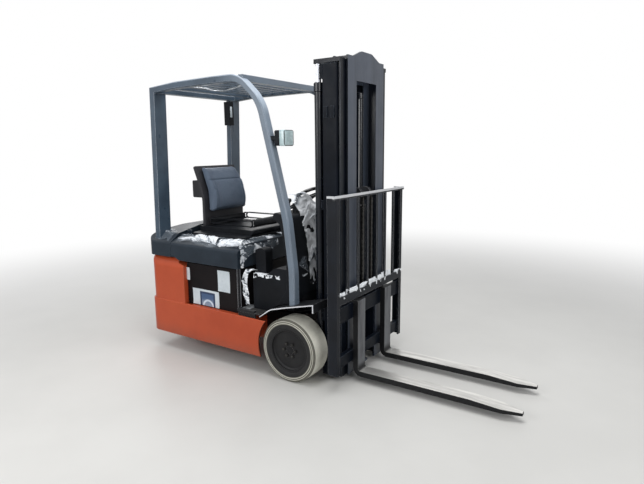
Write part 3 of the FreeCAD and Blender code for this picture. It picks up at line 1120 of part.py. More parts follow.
middle_ties = [cross_tie(f"({stage_x['middle']} - 1)", "10", f"{inner_of['middle']} + 4", low, high)
               for low, high in (("mast_foot + 20", "mast_foot + 110"), ("mast_top - 140", "mast_top - 40"))]
middle_side = joined([mast_rail("middle")] + stage_rollers("middle", "outer"))
node(joined([middle_side, mirrored(middle_side), middle_head] + middle_ties), "mast_middle")
lift_ram = rod("Z", ("lift_x", "lift_half"), ("lift_foot + 30", head_z), "lift_rod")
node(both_sides(lift_ram), "lift_rods")

# Inner rails with their humped head plate, and the free lift cylinder between them
inner_tie = f"({stage_x['inner']} - 1)"
inner_ties = [cross_tie(inner_tie, "9", "window_half + 4", low, high)
              for low, high in (("mast_foot + 2", "mast_foot + 62"), ("crown_low", stage_top["inner"]))]
crown = body("HeadPlate")
pad(crown, "YZ", [[
    (f"-{outer_of['inner']}", "crown_low", "14"), (outer_of["inner"], "crown_low", "14"),
    (outer_of["inner"], "mast_top + stage_rise", "20"), ("crown_flat", "crown_high", "60"),
    ("-crown_flat", "crown_high", "60"), (f"-{outer_of['inner']}", "mast_top + stage_rise", "20")]],
    f"{stage_x['inner']} + rail_depth - rail_flange", f"{stage_x['inner']} + rail_depth")
free_shelf = box((f"{stage_x['inner']} + 1", "free_x + free_barrel"), ("-free_barrel - 10", "free_barrel + 10"),
                 ("mast_foot + 2", "mast_foot + 20"))
inner_rail = mast_rail("inner")
inner_side = joined([inner_rail] + stage_rollers("inner", "middle"))
node(joined([inner_side, mirrored(inner_side), free_shelf, crown] + inner_ties), "mast_inner")
free_body = turned([
    ("0", "mast_foot + 20"), ("free_barrel", "mast_foot + 20"), ("free_barrel", "free_top - 50"),
    ("free_barrel + gland", "free_top - 46"), ("free_barrel + gland", "free_top - 4"), ("free_barrel", "free_top"),
    ("free_rod + running_gap", "free_top"), ("free_rod + running_gap", "free_top - 40"),
    ("free_rod + bore_gap", "free_top - 40"), ("free_rod + bore_gap", "free_top - free_stroke - 80"),
    ("0", "free_top - free_stroke - 80")], "XZ")
chain_anchor = box((f"{stage_x['inner']} + 2", "free_x - free_barrel + 3"),
                   ("-chain_half - chain_wide", "chain_half + chain_wide"), ("free_top - 90", "free_top - 60"))
anchor_tie = cross_tie(inner_tie, "9", "window_half - seat_gap", "free_top - 120", "free_top - 60")
node(joined([moved(free_body, "free_x", "0", "0"), chain_anchor, anchor_tie]), "free_lift_cylinder")
free_ram = rod("Z", ("free_x", "0"), ("free_top - free_stroke - 60", "free_top + 40"), "free_rod")
cheek = box(("free_x - 16", "free_x + 16"), ("-10", "10"), ("free_top + 30", "sheave_z + 20"))
sheave_axle = rod("Y", ("free_x", "sheave_z"), ("-chain_half - sheave_half - 7", "chain_half + sheave_half + 7"), "12")
sheave = turned([
    ("0", "-sheave_half"), ("sheave_radius + 4", "-sheave_half"), ("sheave_radius + 4", "-sheave_half + 3"),
    ("sheave_radius", "-sheave_half + 3.5"), ("sheave_radius", "sheave_half - 3.5"),
    ("sheave_radius + 4", "sheave_half - 3"), ("sheave_radius + 4", "sheave_half"), ("0", "sheave_half")])
sheaves = [moved(sheave, "free_x", f"{side} * chain_half", "sheave_z") for side in SIDES]
node(joined([free_ram, cheek, sheave_axle] + sheaves), "free_lift_head")


def leaf_chain(low, high):
    """A leaf chain hanging along z: a core strip between rows of waisted link plates."""
    core = body("ChainCore")
    pad(core, "XY", [[
        ("-chain_thick / 2 + 2", "-chain_core / 2"), ("chain_thick / 2 - 2", "-chain_core / 2"),
        ("chain_thick / 2 - 2", "chain_core / 2"), ("-chain_thick / 2 + 2", "chain_core / 2")]], low, high)
    rows = [core]
    for step, half in ((0, "chain_wide / 2"), (1, "chain_inner / 2")):
        plates = body("ChainPlates")
        foot = f"({low}) + {step} * chain_pitch"
        pad(plates, "XZ", [[
            ("-chain_thick / 4", foot), ("chain_thick / 4", foot), ("chain_thick / 2", f"{foot} + chain_pitch / 4"),
            ("chain_thick / 2", f"{foot} + chain_pitch * 3 / 4"), ("chain_thick / 4", f"{foot} + chain_pitch"),
            ("-chain_thick / 4", f"{foot} + chain_pitch"), ("-chain_thick / 2", f"{foot} + chain_pitch * 3 / 4"),
            ("-chain_thick / 2", f"{foot} + chain_pitch / 4")]], f"-{half}", half)
        rows.append(repeated(plates, "Z_Axis", f"floor((({high}) - ({low})) / (2 * chain_pitch))", "2 * chain_pitch"))
    return joined(rows)


# Free lift chains: down the front to the carriage, down the rear to the anchor
chain_front_x = "(free_x + sheave_radius + seat_gap + chain_thick / 2)"
chain_rear_x = "(free_x - sheave_radius - seat_gap - chain_thick / 2)"
for x, low, label in ((chain_front_x, "top_bar_top + chain_lug", "lift_chain_front"),
                      (chain_rear_x, "free_top - 60 + seat_gap", "lift_chain_rear")):
    strand = leaf_chain(low, "sheave_z")
    node(together([moved(strand, x, f"{side} * chain_half", "0") for side in SIDES]), label)

# Carriage: two tongued bars across, roller plates inside the rails, chain lugs
bar_front = "(shank_rear - seat_gap)"
low_bar = body("LowBar")
pad(low_bar, "XZ", [[
    ("bar_rear", "low_bar_z + tongue"), (f"{bar_front} - tongue", "low_bar_z + tongue"),
    (f"{bar_front} - tongue", "low_bar_z"), (bar_front, "low_bar_z"),
    (bar_front, "low_bar_z + low_bar_high"), ("bar_rear", "low_bar_z + low_bar_high")]],
    "-carriage_half", "carriage_half")
top_bar = body("TopBar")
pad(top_bar, "XZ", [[
    ("bar_rear", "top_bar_z"), (bar_front, "top_bar_z"), (bar_front, "top_bar_top"),
    (f"{bar_front} - tongue", "top_bar_top"), (f"{bar_front} - tongue", "top_bar_top - tongue"),
    ("bar_rear", "top_bar_top - tongue")]], "-carriage_half", "carriage_half")
plate_rear = f"({stage_x['inner']} + rail_flange + 8)"
carriage_parts = [low_bar, top_bar]
for side in SIDES:
    middle = f"{side} * side_plate_y"
    plate = body("RollerPlate")
    pad(plate, "XZ", [[
        (plate_rear, "low_bar_z - 20", "20"), ("bar_rear + 1", "low_bar_z - 20"),
        ("bar_rear + 1", "top_bar_top + 70", "30"), (plate_rear, "top_bar_top + 70", "30")]],
        f"{middle} - side_plate / 2", f"{middle} + side_plate / 2")
    carriage_parts.append(plate)
    for height in ("low_bar_z + 20", "top_bar_top + 16"):
        spot = (f"{stage_x['inner']} + rail_depth / 2", height)
        near = f"({web_of['inner']} - rail_web - 4 - roller_wide)"
        ends = sorted((f"{side} * side_plate_y", f"{side} * ({near} + 1)"), key=size)
        carriage_parts.append(rod("Y", spot, ends, "roller_stub"))
        ends = sorted((f"{side} * {near}", f"{side} * ({near} + roller_wide)"), key=size)
        carriage_parts.append(rod("Y", spot, ends, roller))
    carriage_parts.append(box((f"{chain_front_x} - chain_thick / 2", "bar_rear + 1"),
                              (f"{side} * chain_half - 16", f"{side} * chain_half + 16"),
                              ("top_bar_top - 30", "top_bar_top + chain_lug - seat_gap")))
node(joined(carriage_parts), "carriage_frame")

# Load backrest: posts down to the lower bar, a slim top bar and upright bars
rest_x = ("(shank_rear + seat_gap)", "(shank_rear + seat_gap + rest_thick)")
rest_foot_z = "(top_bar_top + 26)"
post_outer = "(carriage_half + rest_clear + rest_thick)"
post_middle = f"({post_outer} - rest_post / 2)"
rest = [box(rest_x, ("-rest_reach", "rest_reach"), ("rest_top - rest_rail", "rest_top")),
        box(rest_x, (f"-{post_middle}", post_middle), (rest_foot_z, f"{rest_foot_z} + rest_foot"))]
for side in SIDES:
    post = body("RestPost")
    faces = [f"{side} * ({post_outer} - {inset})" for inset in ("0", "rest_thick", "rest_post")]
    pad(post, "XY", [[
        (rest_x[1], faces[0], "3"), (rest_x[1], faces[2]), (rest_x[0], faces[2]), (rest_x[0], faces[1]),
        (f"{rest_x[1]} - rest_deep", faces[1]), (f"{rest_x[1]} - rest_deep", faces[0])]],
        "low_bar_z - 34", "rest_top - 1")
    rest.append(post)
rest_bay = f"(2 * {post_middle} / (rest_bars + 1))"
upright = body("RestBar")
pad(upright, "XY", [[
    (rest_x[0], f"-{post_middle} + {rest_bay} - rest_bar_wide / 2"),
    (rest_x[1], f"-{post_middle} + {rest_bay} - rest_bar_wide / 2"),
    (rest_x[1], f"-{post_middle} + {rest_bay} + rest_bar_wide / 2"),
    (rest_x[0], f"-{post_middle} + {rest_bay} + rest_bar_wide / 2")]], f"{rest_foot_z} + 4", "rest_top - 1")
rest.append(repeated(upright, "Y_Axis", "rest_bars", rest_bay))
node(joined(rest), "load_backrest")

# Forks: forged from one bar, with hooks over the carriage tongues and a blade that narrows at its tip
hook_front = f"({bar_front} - tongue - hook_play)"
for side, word in zip(SIDES, ("right", "left")):
    fork = body("Fork")
    fork_tip = "(fork_face + fork_length)"
    low_side = f"{side} * fork_spread - fork_width / 2"
    high_side = f"{side} * fork_spread + fork_width / 2"
    pad(fork, "XZ", [[
        ("shank_rear", "fork_low", "heel_round"), (fork_tip, "fork_low"), (fork_tip, "fork_low + fork_tip_thick", "4"),
        (f"{fork_tip} - fork_taper", "fork_low + fork_thick", "300"), ("fork_face", "fork_low + fork_thick", "16"),
        ("fork_face", "top_bar_top + hook_play + hook_wall", "10"),
        ("bar_rear + 2.5", "top_bar_top + hook_play + hook_wall", "8"),
        ("bar_rear + 2.5", "top_bar_top - tongue + hook_play"), (hook_front, "top_bar_top - tongue + hook_play"),
        (hook_front, "top_bar_top + hook_play"), ("shank_rear", "top_bar_top + hook_play"),
        ("shank_rear", "low_bar_z - hook_play"), (hook_front, "low_bar_z - hook_play"),
        (hook_front, "low_bar_z + tongue - hook_play"), ("bar_rear + 2.5", "low_bar_z + tongue - hook_play"),
        ("bar_rear + 2.5", "low_bar_z - hook_play - hook_wall", "6"),
        ("shank_rear", "low_bar_z - hook_play - hook_wall")]], low_side, high_side)
    for edge, inward in ((low_side, 1), (high_side, -1)):
        pocket(fork, "XY", [[
            (f"{fork_tip} + 1", f"{edge} - {inward}"), (f"{fork_tip} - fork_tip_taper", f"{edge} - {inward}"),
            (f"{fork_tip} + 1", f"{edge} + {inward} * fork_tip_narrow")]], "fork_low - 1", "fork_low + fork_thick + 1")
    latch = rod("Z", (f"{bar_front} - tongue / 2", f"{side} * fork_spread"),
                ("top_bar_top + hook_play + hook_wall - 1", "top_bar_top + hook_play + hook_wall + latch_high"), "7")
    node(joined([fork, latch]), "fork_" + word)

# Tilt cylinders: barrels pinned to the frame rails, rods pinned to the mast
tilt_run = "(tilt_front_x + tilt_rear_x)"
tilt_climb = "(tilt_front_z - tilt_rear_z)"
tilt_length = f"sqrt({tilt_run} * {tilt_run} + {tilt_climb} * {tilt_climb})"


def along_tilt(piece, name):
    """Lay a piece, made along x from the rear pin, on the line between the two pins."""
    angle = math.degrees(math.atan2(size(tilt_climb), size(tilt_run)))
    laid = together([piece], name)
    bind_place(laid, "-tilt_rear_x", "tilt_half", "tilt_rear_z", turn=Rotation(Vector(0, 1, 0), -angle))
    return laid


eye = rod("Y", ("0", "0"), ("-eye_half", "eye_half"), "tilt_pin + tilt_eye")
tube = rod("X", ("0", "0"), ("tilt_pin + 6", "tilt_barrel_length"), "tilt_barrel")
tube_gland = rod("X", ("0", "0"), ("tilt_barrel_length - 26", "tilt_barrel_length - 4"), "tilt_barrel + gland")
tube_bore = rod("X", ("0", "0"), ("tilt_pin + 40", "tilt_barrel_length - 30"), "tilt_rod + bore_gap")
tube_neck = rod("X", ("0", "0"), ("tilt_barrel_length - 31", "tilt_barrel_length + 1"), "tilt_rod + running_gap")
pin_hole = rod("Y", ("0", "0"), ("-tilt_barrel - 1", "tilt_barrel + 1"), "tilt_pin + running_gap")
node(both_sides(along_tilt(cut_from(joined([eye, tube, tube_gland]), [tube_bore, tube_neck, pin_hole]), "TiltBarrel")),
     "tilt_barrels")
rod_bar = rod("X", ("0", "0"), ("tilt_barrel_length - 130", f"{tilt_length} - tilt_pin - 6"), "tilt_rod")
rod_eye = rod("Y", (tilt_length, "0"), ("-eye_half - 1", "eye_half + 1"), "tilt_pin + tilt_eye - 1")
rod_hole = rod("Y", (tilt_length, "0"), ("-eye_half - 2", "eye_half + 2"), "tilt_pin + eye_drift")
node(both_sides(along_tilt(cut_from(joined([rod_bar, rod_eye]), [rod_hole]), "TiltRod")), "tilt_rods")

# Box on the inner face of the left rear pillar, under the roof
box_rear = "(-rear_pillar_x + rear_pillar_deep + 7)"
pillar_face = "(guard_half - rear_pillar_wide - seat_gap)"
pillar_box = body("PillarBox")
pad(pillar_box, "XY", [[
    (box_rear, f"{pillar_face} - box_wide", "6"), (f"{box_rear} + box_deep", f"{pillar_face} - box_wide", "6"),
    (f"{box_rear} + box_deep", pillar_face), (box_rear, pillar_face)]], "box_low", "box_low + box_high")
node(pillar_box, "pillar_box")

doc.recompute()
for item in doc.Objects:
    if "Invalid" in item.State or "Error" in item.State:
        raise RuntimeError(f"{item.Name} did not compute: {item.State}")
os.makedirs("parts", exist_ok=True)
for piece in NODES:
    shape = piece.Shape
    if shape.isNull() or not shape.isValid() or not shape.Solids:
        raise RuntimeError(piece.Label + " has no valid solid")
    shape.exportStep(f"parts/{piece.Label}.step")
    span = shape.BoundBox
    print(f"{piece.Label:20s} solids {len(shape.Solids)} x {span.XMin:8.1f} {span.XMax:8.1f}"
          f" y {span.YMin:7.1f} {span.YMax:7.1f} z {span.ZMin:7.1f} {span.ZMax:7.1f} litres {shape.Volume / 1e6:7.2f}")
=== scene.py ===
import json
import math

import bmesh
import bpy
import numpy as np
from mathutils import Matrix, Vector

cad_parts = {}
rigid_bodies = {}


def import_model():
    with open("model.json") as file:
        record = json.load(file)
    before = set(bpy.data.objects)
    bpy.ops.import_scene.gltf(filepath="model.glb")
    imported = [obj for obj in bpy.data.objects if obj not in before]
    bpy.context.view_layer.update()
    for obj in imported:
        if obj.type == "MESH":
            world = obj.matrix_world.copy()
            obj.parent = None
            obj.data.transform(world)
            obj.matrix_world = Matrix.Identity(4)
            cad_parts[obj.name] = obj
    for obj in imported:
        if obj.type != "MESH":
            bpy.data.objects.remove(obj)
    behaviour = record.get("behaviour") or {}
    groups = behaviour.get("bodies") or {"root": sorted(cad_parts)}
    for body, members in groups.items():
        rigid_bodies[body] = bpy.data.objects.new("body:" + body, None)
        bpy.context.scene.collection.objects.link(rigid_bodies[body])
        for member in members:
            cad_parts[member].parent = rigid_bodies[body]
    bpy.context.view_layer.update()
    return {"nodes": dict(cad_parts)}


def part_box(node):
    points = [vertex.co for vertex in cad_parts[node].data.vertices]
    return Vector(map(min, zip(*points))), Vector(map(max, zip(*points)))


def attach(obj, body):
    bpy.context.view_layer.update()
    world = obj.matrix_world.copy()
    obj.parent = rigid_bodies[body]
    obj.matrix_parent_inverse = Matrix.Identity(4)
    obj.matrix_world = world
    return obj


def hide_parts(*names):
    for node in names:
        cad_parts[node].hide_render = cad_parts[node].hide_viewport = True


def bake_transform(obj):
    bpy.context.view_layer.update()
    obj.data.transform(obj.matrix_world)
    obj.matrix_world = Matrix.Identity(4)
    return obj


for leftover in list(bpy.data.objects):
    bpy.data.objects.remove(leftover)
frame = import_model()

# Studio
# A pale floor, soft lamps overhead and a white surround. The camera stands ahead of the
# truck on its right, at head height, and looks back along the forks.
CAMERA_SPOT = (1.9868, -3.1432, 1.5725)
CAMERA_YAW, CAMERA_PITCH, CAMERA_ROLL = 33.2965, 10.2326, -0.5638
CAMERA_LENS = 28.86
WHITE = (1.0, 1.0, 1.0, 1.0)
ROOM_GREY = (0.80, 0.82, 0.85, 1.0)
ROOM_LEVEL = 0.34
FLOOR_GREY = (0.60, 0.595, 0.575)
FLOOR_REACH, FADE_NEAR, FADE_FAR = 14.0, 1.9, 7.0


def turn(degrees, axis):
    return Matrix.Rotation(math.radians(degrees), 4, axis)


camera = bpy.data.objects.new("camera", bpy.data.cameras.new("camera"))
bpy.context.scene.collection.objects.link(camera)
camera.data.lens, camera.data.clip_end = CAMERA_LENS, 60
camera.matrix_world = (Matrix.Translation(CAMERA_SPOT) @ turn(CAMERA_YAW, "Z")
                       @ turn(90 - CAMERA_PITCH, "X") @ turn(CAMERA_ROLL, "Z"))
bpy.context.scene.camera = camera
bpy.context.scene.view_settings.view_transform = "Standard"


class Value:
    """The output of a shader node. Sums on it and on numbers add the Math nodes for them."""

    def __init__(self, finish, socket):
        self.finish, self.socket = finish, socket

    def maths(self, operation, *terms):
        return self.finish.node("Math", {"operation": operation}, dict(enumerate(terms)))

    def __add__(self, other):
        return self.maths("ADD", self, other)

    def __sub__(self, other):
        return self.maths("SUBTRACT", self, other)

    def __rsub__(self, other):
        return self.maths("SUBTRACT", other, self)

    def __mul__(self, other):
        return self.maths("MULTIPLY", self, other)

    def __abs__(self):
        return self.maths("ABSOLUTE", self)

    __radd__, __rmul__ = __add__, __mul__


class Finish:
    """The shader nodes of one finish. node() adds any node and gives one of its outputs."""

    def __init__(self, owner):
        self.owner = owner
        owner.use_nodes = True
        self.tree = owner.node_tree
        self.tree.nodes.clear()

    def node(self, kind, settings=None, inputs=None, output=0):
        made = self.tree.nodes.new("ShaderNode" + kind)
        for name, value in (settings or {}).items():
            if name == "stops":
                ramp = made.color_ramp.elements
                for index, (place, shade) in enumerate(value):
                    stop = ramp[index] if index < 2 else ramp.new(place)
                    stop.position, stop.color = place, (*shade, 1.0)
            else:
                setattr(made, name, value)
        for name, value in (inputs or {}).items():
            if isinstance(value, Value):
                self.tree.links.new(value.socket, made.inputs[name])
            else:
                made.inputs[name].default_value = value
        return Value(self, made.outputs[output]) if len(made.outputs) else None

    def spot(self, centre=(0, 0, 0), scale=(1, 1, 1)):
        """Object coordinates counted from a centre, then stretched."""
        place = self.node("TexCoord", output="Object")
        moved = self.node("VectorMath", {"operation": "SUBTRACT"}, {0: place, 1: centre})
        return self.node("Mapping", {"vector_type": "POINT"}, {"Vector": moved, "Scale": scale})

    def noise(self, scale, detail=3.0, rough=0.55, where=None, twist=0.0):
        return self.node("TexNoise", None, {"Vector": where or self.spot(), "Scale": scale, "Detail": detail,
                                            "Roughness": rough, "Distortion": twist})

    def between(self, value, low, high, give=(0.0, 1.0)):
        """A smooth step of a value from one level to another."""
        return self.node("MapRange", {"interpolation_type": "SMOOTHSTEP"}, {
            "Value": value, "From Min": low, "From Max": high, "To Min": give[0], "To Max": give[1]})

    def clouds(self, scale, low, high, give=(0.0, 1.0), detail=4.0, rough=0.6):
        """Soft patches: noise with its middle levels spread out."""
        return self.between(self.noise(scale, detail, rough), low, high, give)

    def along(self, axis, where=None):
        return self.node("SeparateXYZ", None, {0: where or self.spot()}, axis)

    def facing(self, axis, low=None, high=None):
        """How far the surface faces along an axis, or a smooth step of that."""
        way = self.along(axis, self.node("TexCoord", output="Normal"))
        return way if low is None else self.between(way, low, high)

    def length(self, where):
        return self.node("VectorMath", {"operation": "LENGTH"}, {0: where}, "Value")

    def mixed(self, share, first, second):
        """One colour where the share is 0 and the other where it is 1."""
        shades = [s if isinstance(s, Value) else (*s, 1.0) for s in (first, second)]
        return self.node("Mix", {"data_type": "RGBA"}, {0: share, 6: shades[0], 7: shades[1]}, 2)

    def rounded(self, radius=0.002):
        """The normal of a surface whose sharp edges are broken to this radius."""
        return self.node("Bevel", {"samples": 4}, {"Radius": radius})

    def edges(self, radius, low=0.02, high=0.30):
        """1 along sharp edges, 0 on the faces between them."""
        face = self.node("NewGeometry", output="Normal")
        met = self.node("VectorMath", {"operation": "DOT_PRODUCT"},
                        {0: self.rounded(radius), 1: face}, "Value")
        return self.between(1.0 - met, low, high)

    def bumped(self, height, depth, normal=None):
        levels = {"Height": height, "Distance": depth, "Strength": 1.0}
        if normal is not None:
            levels["Normal"] = normal
        return self.node("Bump", None, levels)

    def grain(self, scale, depth, radius=0.002):
        """The normal of a fine even grain over broken edges."""
        return self.bumped(self.noise(scale, 2.0, 0.5), depth, self.rounded(radius))

    def surface(self, colour, rough, specular=0.2, **others):
        """Close the finish with a colour, a roughness, and other inputs by name."""
        inputs = {"Base Color": colour, "Roughness": rough, "Specular IOR Level": specular}
        inputs.update((name.replace("_", " "), value) for name, value in others.items())
        shader = self.node("BsdfPrincipled", None, inputs)
        self.node("OutputMaterial", None, {"Surface": shader})
        return self.owner


def new_finish(name):
    return Finish(bpy.data.materials.new(name))


world = bpy.data.worlds.new("surround")
bpy.context.scene.world = world
surround = Finish(world)
seen = surround.node("LightPath", output="Is Camera Ray")
for other_ray in ("Is Glossy Ray", "Is Transmission Ray"):
    seen = seen.maths("MAXIMUM", seen, surround.node("LightPath", output=other_ray))
room = surround.node("Background", None, {"Color": ROOM_GREY, "Strength": ROOM_LEVEL})
backdrop = surround.node("Background", None, {"Color": WHITE, "Strength": 1.0})
shown = surround.node("MixShader", None, {0: seen, 1: room, 2: backdrop})
surround.node("OutputWorld", None, {"Surface": shown})

for name, spot, aim, wide, deep, watts in (
        ("lamp_overhead", (0.4, -0.3, 4.8), (-0.1, 0.0, 0.6), 3.4, 2.6, 165),
        ("lamp_front", (4.2, -2.4, 2.9), (0.2, 0.0, 0.9), 2.2, 1.8, 80),
        ("lamp_side", (-1.6, -4.4, 2.4), (-0.5, 0.0, 0.6), 2.6, 1.6, 84),
        ("lamp_rear", (-3.4, 2.2, 3.2), (-0.4, 0.0, 1.0), 2.0, 1.6, 56)):
    lamp = bpy.data.objects.new(name, bpy.data.lights.new(name, "AREA"))
    lamp.data.shape, lamp.data.size, lamp.data.size_y, lamp.data.energy = "RECTANGLE", wide, deep, watts
    lamp.location = spot
    lamp.rotation_euler = (Vector(aim) - Vector(spot)).to_track_quat("-Z", "Y").to_euler()
    bpy.context.scene.collection.objects.link(lamp)

floor_finish = new_finish("floor_concrete")
cloudy = floor_finish.clouds(0.9, 0.3, 0.7)
floor_shade = floor_finish.mixed(cloudy, FLOOR_GREY, tuple(0.94 * c for c in FLOOR_GREY))
near_floor = floor_finish.node("BsdfPrincipled", None, {"Base Color": floor_shade, "Roughness": 0.42,
                                                        "Specular IOR Level": 0.25})
faded_out = floor_finish.between(floor_finish.length(floor_finish.spot()), FADE_NEAR, FADE_FAR)
faded_out = faded_out * floor_finish.node("LightPath", output="Is Camera Ray")
pale_far = floor_finish.node("Emission", None, {"Color": WHITE, "Strength": 1.0})
blended = floor_finish.node("MixShader", None, {0: faded_out, 1: near_floor, 2: pale_far})
floor_finish.node("OutputMaterial", None, {"Surface": blended})
floor_mesh = bpy.data.meshes.new("floor")
corners = [(x * FLOOR_REACH, y * FLOOR_REACH, 0) for x, y in ((-1, -1), (1, -1), (1, 1), (-1, 1))]
floor_mesh.from_pydata(corners, [], [(0, 1, 2, 3)])
floor = bpy.data.objects.new("floor", floor_mesh)
floor.data.materials.append(floor_finish.owner)
bpy.context.scene.collection.objects.link(floor)

# Frame and counterweight
# Welded steel skirts and a cast weight in orange-red enamel. The corners are painted paler as a highlight
# and rubbed pale in scuffs, grime gathers low down, and the casting shows a soft unevenness under its paint.
# ORANGE_RUB_AND_HIGHLIGHT is the pale orange of rubbed scuffs and of the painted edge highlight.
ORANGE, ORANGE_DULL, ORANGE_RUB_AND_HIGHLIGHT = (0.455, 0.074, 0.026), (0.390, 0.060, 0.022), (0.70, 0.27, 0.15)
GRIME, INNER_FACE_BLACK, DUST = (0.085, 0.070, 0.058), (0.0085, 0.0085, 0.0095), (0.42, 0.41, 0.39)
GRIME_TOP = 0.20
SKIRT_INSIDE, SKIRT_REAR = 0.4955, -0.410


def dress(finish, *names):
    """Give CAD nodes a finish."""
    for name in names:
        slots = frame["nodes"][name].material_slots
        for slot in slots:
            slot.material = finish


def orange_enamel(name, wave):
    """Semi-gloss enamel: faded patches, pale edges that are a painted highlight with rubbed scuffs, grime near
    the floor, waviness of a given scale, and black on the skirts' inner faces."""
    paint = new_finish(name)
    faded = paint.clouds(2.3, 0.35, 0.7)
    scuffs = paint.between(paint.noise(26, 5.0, 0.7, paint.spot(scale=(0.25, 1, 1.6))), 0.66, 0.74)
    low = paint.between(paint.along("Z") + 0.10 * paint.noise(5.0, 4.0), 0.12, GRIME_TOP + 0.09, (0.75, 0.0))
    shade = paint.mixed(faded, ORANGE, ORANGE_DULL)
    shade = paint.mixed(scuffs * 0.25, shade, ORANGE_RUB_AND_HIGHLIGHT)
    # Painted highlight: every sharp edge is turned towards the pale orange.
    shade = paint.mixed(paint.edges(0.004) * 0.8, shade, ORANGE_RUB_AND_HIGHLIGHT)
    shade = paint.mixed(low * paint.noise(40, 3.0), shade, GRIME)
    # The skirts' inner faces ahead of the rear edge are painted black.
    within = paint.between(abs(paint.along("Y")), SKIRT_INSIDE - 0.001, SKIRT_INSIDE + 0.001, (1.0, 0.0))
    ahead = paint.between(paint.along("X"), SKIRT_REAR - 0.005, SKIRT_REAR + 0.005)
    shade = paint.mixed(within * ahead, shade, INNER_FACE_BLACK)
    ripple = paint.noise(wave, 2.0, 0.5) + 0.08 * paint.noise(420, 2.0)
    rough = paint.between(faded + scuffs, 0.0, 1.6, (0.34, 0.55))
    return paint.surface(shade, rough, 0.22, Coat_Weight=0.06, Coat_Roughness=0.22,
                         Normal=paint.bumped(ripple, 0.0006, paint.rounded(0.004)))


dress(orange_enamel("orange_enamel", 9), "chassis_frame")
dress(orange_enamel("orange_casting", 34), "counterweight")


def speckled(name, shade, other, rough, grain, depth, rub=None, rub_width=0.0025, metallic=0.0, specular=0.2,
             dust=0.0, coat=0.0):
    """A fine even grain, cloudy in two shades, with edges rubbed to a third shade and dust on top."""
    finish = new_finish(name)
    colour = finish.mixed(finish.clouds(4.5, 0.35, 0.68), shade, other)
    if dust:
        settled = finish.facing("Z", 0.55, 0.95) * finish.clouds(7, 0.30, 0.75, detail=5.0, rough=0.65)
        colour = finish.mixed(settled * dust, colour, DUST)
    if rub:
        worn = finish.edges(rub_width) * finish.clouds(18, 0.32, 0.55, rough=0.7)
        colour = finish.mixed(worn, colour, rub)
    uneven = finish.clouds(11, 0.25, 0.75, (rough - 0.07, rough + 0.09))
    return finish.surface(colour, uneven, specular, Metallic=metallic, Coat_Weight=coat, Coat_Roughness=0.15,
                          Normal=finish.grain(grain, depth, 0.0018))


# Axles
# The drive motor lies across the frame between the front wheels, and the steered pair hangs
# from a turntable. Both are painted castings, dull with oil and road dust.
CASTING, CASTING_DARK, BARE_STEEL = (0.016, 0.016, 0.018), (0.009, 0.009, 0.010), (0.36, 0.35, 0.34)
dress(speckled("painted_casting", CASTING, CASTING_DARK, 0.62, 160, 0.0009, BARE_STEEL, 0.002, dust=0.15),
      "drive_unit", "steer_turntable")


def grid_faces(rows, columns, close_rows=False, close_columns=False):
    """Quads between neighbouring points of a grid. A closed direction joins its last line to its first."""
    r, c = np.meshgrid(np.arange(rows if close_rows else rows - 1),
                       np.arange(columns if close_columns else columns - 1), indexing="ij")
    next_r, next_c = (r + 1) % rows, (c + 1) % columns
    return np.stack([r * columns + c, r * columns + next_c, next_r * columns + next_c, next_r * columns + c],
                    axis=-1).reshape(-1, 4)


def lathe(profile, centre, axis=(0, 1, 0), steps=96, closed=True):
    """Carry a profile of (radius, along the axis) round an axis through a centre."""
    axis = np.array(axis, float) / np.linalg.norm(axis)
    side = np.cross(axis, (0.0, 0.0, 1.0) if abs(axis[2]) < 0.9 else (1.0, 0.0, 0.0))
    side = side / np.linalg.norm(side)
    third = np.cross(axis, side)
    angle = np.linspace(0, 2 * np.pi, steps, endpoint=False)[:, None, None]
    profile = np.asarray(profile, float)
    radius, reach = profile[None, :, :1], profile[None, :, 1:]
    points = np.asarray(centre) + reach * axis + radius * (np.cos(angle) * side + np.sin(angle) * third)
    return points.reshape(-1, 3), grid_faces(steps, len(profile), True, closed)


def copies(shell, places):
    """The same shell at each of many places."""
    points, faces = shell
    places = np.asarray(places, float).reshape(-1, 3)
    shift = np.arange(len(places))[:, None, None] * len(points)
    return (points[None] + places[:, None]).reshape(-1, 3), (faces[None] + shift).reshape(-1, faces.shape[1])


def piece(name, shells, finish, body, stands_for=(), crease=32):
    """One object from several shells of points and faces. It rides on a body,
    or on none."""
    points = np.concatenate([shell[0] for shell in shells])
    starts = np.cumsum([0] + [len(shell[0]) for shell in shells[:-1]])
    faces = np.concatenate([shell[1] + start for shell, start in zip(shells, starts)])
    mesh = bpy.data.meshes.new(name)
    mesh.from_pydata(points, [], faces)
    work = bmesh.new()
    work.from_mesh(mesh)
    bmesh.ops.remove_doubles(work, verts=work.verts, dist=1e-6)
    bmesh.ops.dissolve_degenerate(work, edges=work.edges, dist=1e-7)
    bmesh.ops.recalc_face_normals(work, faces=work.faces)
    work.to_mesh(mesh)
    work.free()
    mesh.shade_smooth()
    mesh.set_sharp_from_angle(angle=math.radians(crease))
    made = bpy.data.objects.new(name, mesh)
    bpy.context.scene.collection.objects.link(made)
    mesh.materials.append(finish)
    if body:
        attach(made, body)
    if stands_for:
        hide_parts(*stands_for)
    return made


# Drive wheels
# Pressed-on solid tyres of pale non-marking rubber, worn smooth on the tread. The sidewall is
# black as far as two raised bead lines, round a dark flat disc with six nuts.
TREAD, TREAD_DARK = (0.66, 0.65, 0.57), (0.30, 0.29, 0.24)
SIDEWALL, SIDEWALL_DARK, SIDEWALL_BLACK = (0.235, 0.228, 0.190), (0.080, 0.077, 0.064), (0.016, 0.016, 0.0165)
BEADS, TROUGH_OFF, BLACK_TO = (0.1930, 0.2050), 0.0056, 0.1865
DISC, DISC_DARK = (0.017, 0.017, 0.018), (0.009, 0.009, 0.010)
NUT_CIRCLE, NUT_COUNT, STEER_WIDTH = 0.048, 6, 0.118


